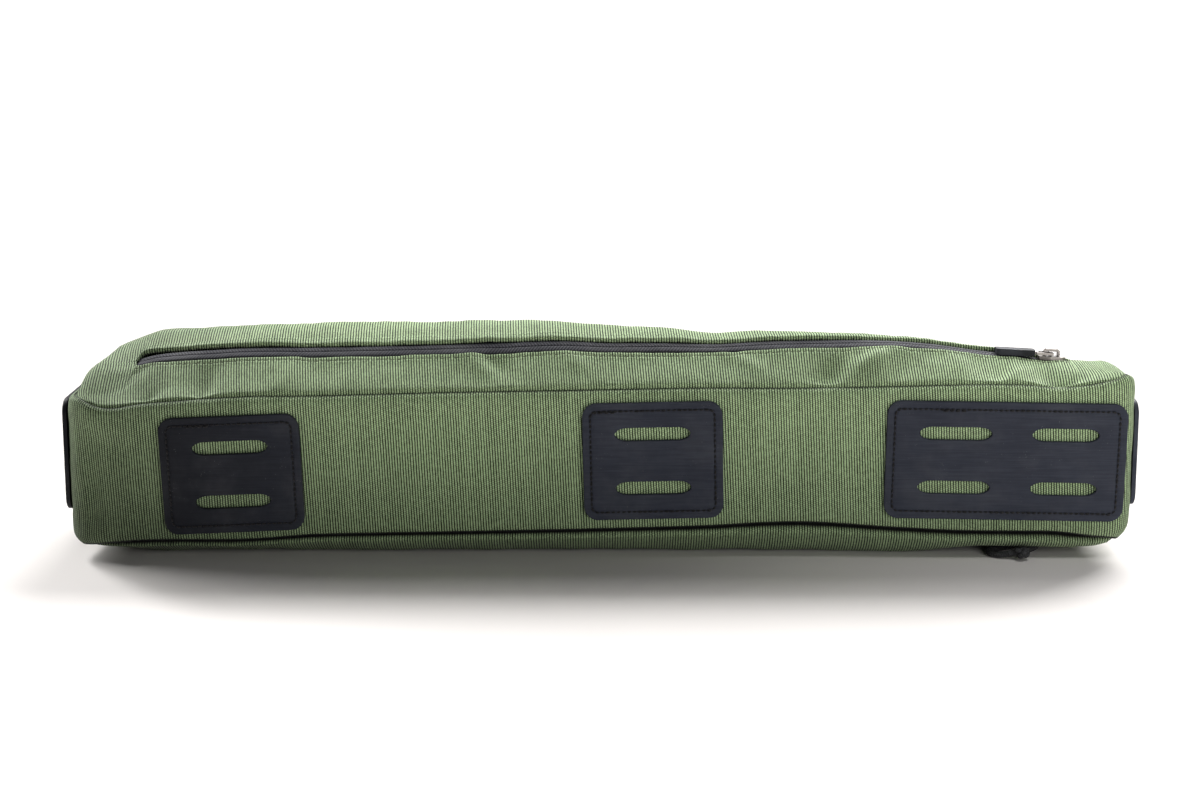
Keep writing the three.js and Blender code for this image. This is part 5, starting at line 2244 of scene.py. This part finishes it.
@dataclass
class Studio:
    """Pale floor, two soft keys, a softbox, two soft spots over the floor, and the photo's camera angle."""

    camera_at: Triple = (0.0002, -1.2251, 0.3385)
    pitch: float = 12.7
    focal_pixels: float = 2657.0
    image_width: float = 1200.0
    sensor: float = 36.0
    floor: tuple[Triple, ...] = ((-6, -4, 0), (6, -4, 0), (6, 8, 0), (-6, 8, 0))
    # Name, degrees off to the left, degrees above the floor and strength
    keys: tuple[tuple[str, float, float, float], ...] = (
        ("right key", -25.0, 36.0, 6.0),
        ("left key", 55.0, 34.0, 3.0),
    )
    key_spread: float = 40.0
    fill: float = 0.05
    front_at: Triple = (0.5, -0.9, 0.25)
    front_aim: Triple = (0.1, -0.06, 0.05)
    front_size: Span = (0.6, 0.5)
    front_power: float = 3.25
    # Name, place, spot of floor that it lights, degrees across its beam and strength
    spots: tuple[tuple[str, Triple, Triple, float, float], ...] = (
        ("front corner spot", (0.42, -0.5, 0.74), (0.24, -0.13, 0.0), 19.0, 18.0),
        ("rear corner spot", (-0.7, 0.46, 0.46), (-0.3, -0.08, 0.0), 18.0, 52.0),
    )
    spot_size: float = 0.14

    def build(self) -> None:
        """Build the floor, lights, world and camera."""
        self.add_camera()
        self.add_floor()
        self.add_lights()
        self.add_world()
        bpy.context.scene.view_settings.view_transform = "Standard"
        bpy.context.scene.view_settings.look = "None"

    def add_camera(self) -> None:
        """Add the camera."""
        data = bpy.data.cameras.new("camera")
        data.sensor_width = self.sensor
        data.lens = self.sensor * self.focal_pixels / self.image_width
        camera = add_object("camera", data)
        camera.location = self.camera_at
        camera.rotation_euler = (math.radians(90 - self.pitch), 0, 0)
        bpy.context.scene.camera = camera

    def add_floor(self) -> None:
        """Add the floor."""
        mesh = bpy.data.meshes.new("floor")
        mesh.from_pydata(self.floor, [], [(0, 1, 2, 3)])
        mesh.materials.append(FloorFinish().material())
        floor = add_object("floor", mesh)

    def add_light(self, kind: str, name: str, power: float, **settings: object) -> Piece:
        """Add a light.

        Args:
            kind: Its type.
            name: Its name.
            power: Its strength.
            settings: Its other properties.

        Returns:
            The light.
        """
        data = bpy.data.lights.new(name, kind)
        for key, value in {"energy": power, **settings}.items():
            setattr(data, key, value)
        return add_object(name, data)

    def aim(self, light: Piece, at: Triple, towards: Triple) -> None:
        """Stand a light at a place and turn it towards another."""
        light.location = at
        light.rotation_euler = (Vector(towards) - Vector(at)).to_track_quat("-Z", "Y").to_euler()

    def add_lights(self) -> None:
        """Add the keys from behind and above, the softbox at the front and the spots over the floor."""
        for name, side, height, power in self.keys:
            key = self.add_light("SUN", name, power, angle=math.radians(self.key_spread))
            key.rotation_euler = (math.radians(height - 90), 0, math.radians(side))
        wide, tall = self.front_size
        box = {"shape": "RECTANGLE", "size": wide, "size_y": tall}
        softbox = self.add_light("AREA", "front softbox", self.front_power, **box)
        self.aim(softbox, self.front_at, self.front_aim)
        for name, at, towards, cone, power in self.spots:
            beam = {"spot_size": math.radians(cone), "spot_blend": 1.0, "shadow_soft_size": self.spot_size}
            self.aim(self.add_light("SPOT", name, power, **beam), at, towards)

    def add_world(self) -> None:
        """Add the plain white surroundings."""
        world = bpy.data.worlds.new("studio")
        world.use_nodes = True
        surroundings = {"Color": (1, 1, 1, 1), "Strength": self.fill}
        Graph(world.node_tree).fill(world.node_tree.nodes["Background"], surroundings)
        bpy.context.scene.world = world


# Name, edge, place along it, height of its middle, width, tallness, turn in degrees, place and length of its
# slots, seed, and places of doubled stitches
ANCHORS = (
    ("left", Edge.TOP, -167.3, 42.0, 63.5, 54, 2.4, ((0, 34),), 61, (-14.0,)),
    ("middle", Edge.TOP, MIDDLE_ANCHOR_X, 48.3, 63.2, 54, 1.2, ((0, 34),), 62, (-22.0,)),
    ("right", Edge.TOP, 182, 48.1, 108.4, 54.5, -1, ((-23, 32.5), (26.6, 30)), 63, (-24.0,)),
    ("front_end", Edge.FRONT, 24, 48.6, 32, 49, 0, ((0, 20),), 64),
    ("rear_end", Edge.REAR, 84.7, 46.9, 62, 52, 0, ((0, 34),), 65),
)
# x and distance of the zip's near edge from the top seam
UPPER_ZIP = ((-216, 31), (-180, 28), (-132, 23.5), (-19, 20.5), (100, 22), (150, 24), (218, 27))
LOWER_ZIP = ((-216, 18), (218, 18))
NEAR_LIP = Lip(height=0.2, nose=0.35, width=4.6, stitch=2.2)
FAR_LIP = Lip(height=0.95, nose=0.9, width=6.0, stitch=3.4)
LOWER_LIP = Lip(height=0.3, nose=0.4, width=4.6, stitch=2.2)


def main() -> None:
    """Build the studio and every piece of the bag in order."""
    logging.basicConfig(level=logging.INFO, format="%(name)s %(message)s")
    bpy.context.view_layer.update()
    Studio().build()
    finishes = Finishes.mixed()
    CordPull(finishes).build()
    form = BagForm()
    patches = [AnchorPatch(form, finishes, *row) for row in ANCHORS]
    upper = SidePanel(
        Level.UPPER, form, finishes, UPPER_ZIP, NEAR_LIP, FAR_LIP, seed=11, rear_gape=1.5, roll=1.0,
        fan=0.0005, lean=0.08, fine_folds=CREASES,
    )
    lower = SidePanel(
        Level.LOWER, form, finishes, LOWER_ZIP, LOWER_LIP, LOWER_LIP, seed=21, tuck=0.75, seam_shade=1.0,
        groove=6.0, groove_width=2.3, swell=2.2, sag=1.3,
    )
    Gusset(form, finishes, patches).build()
    zip_stitches = StitchRows(
        "zip_stitches", finishes.green_thread, pitch=2.9, length=2.3, radius=0.2, seed=5
    )
    for panel in (upper, lower):
        panel.build()
        panel.build_zip()
        panel.stitch_lines(zip_stitches)
    anchor_stitches = StitchRows(
        "anchor_stitches", finishes.black_thread, pitch=2.4, length=1.8, radius=0.48, seed=9
    )
    for patch in patches:
        patch.build()
        patch.stitch_lines(anchor_stitches)
    settle(zip_stitches.sew(), None, "cloth")
    settle(anchor_stitches.sew(), None, "anchor")
    Pulls(finishes).dress()
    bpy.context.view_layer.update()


if __name__ == "__main__":
    main()
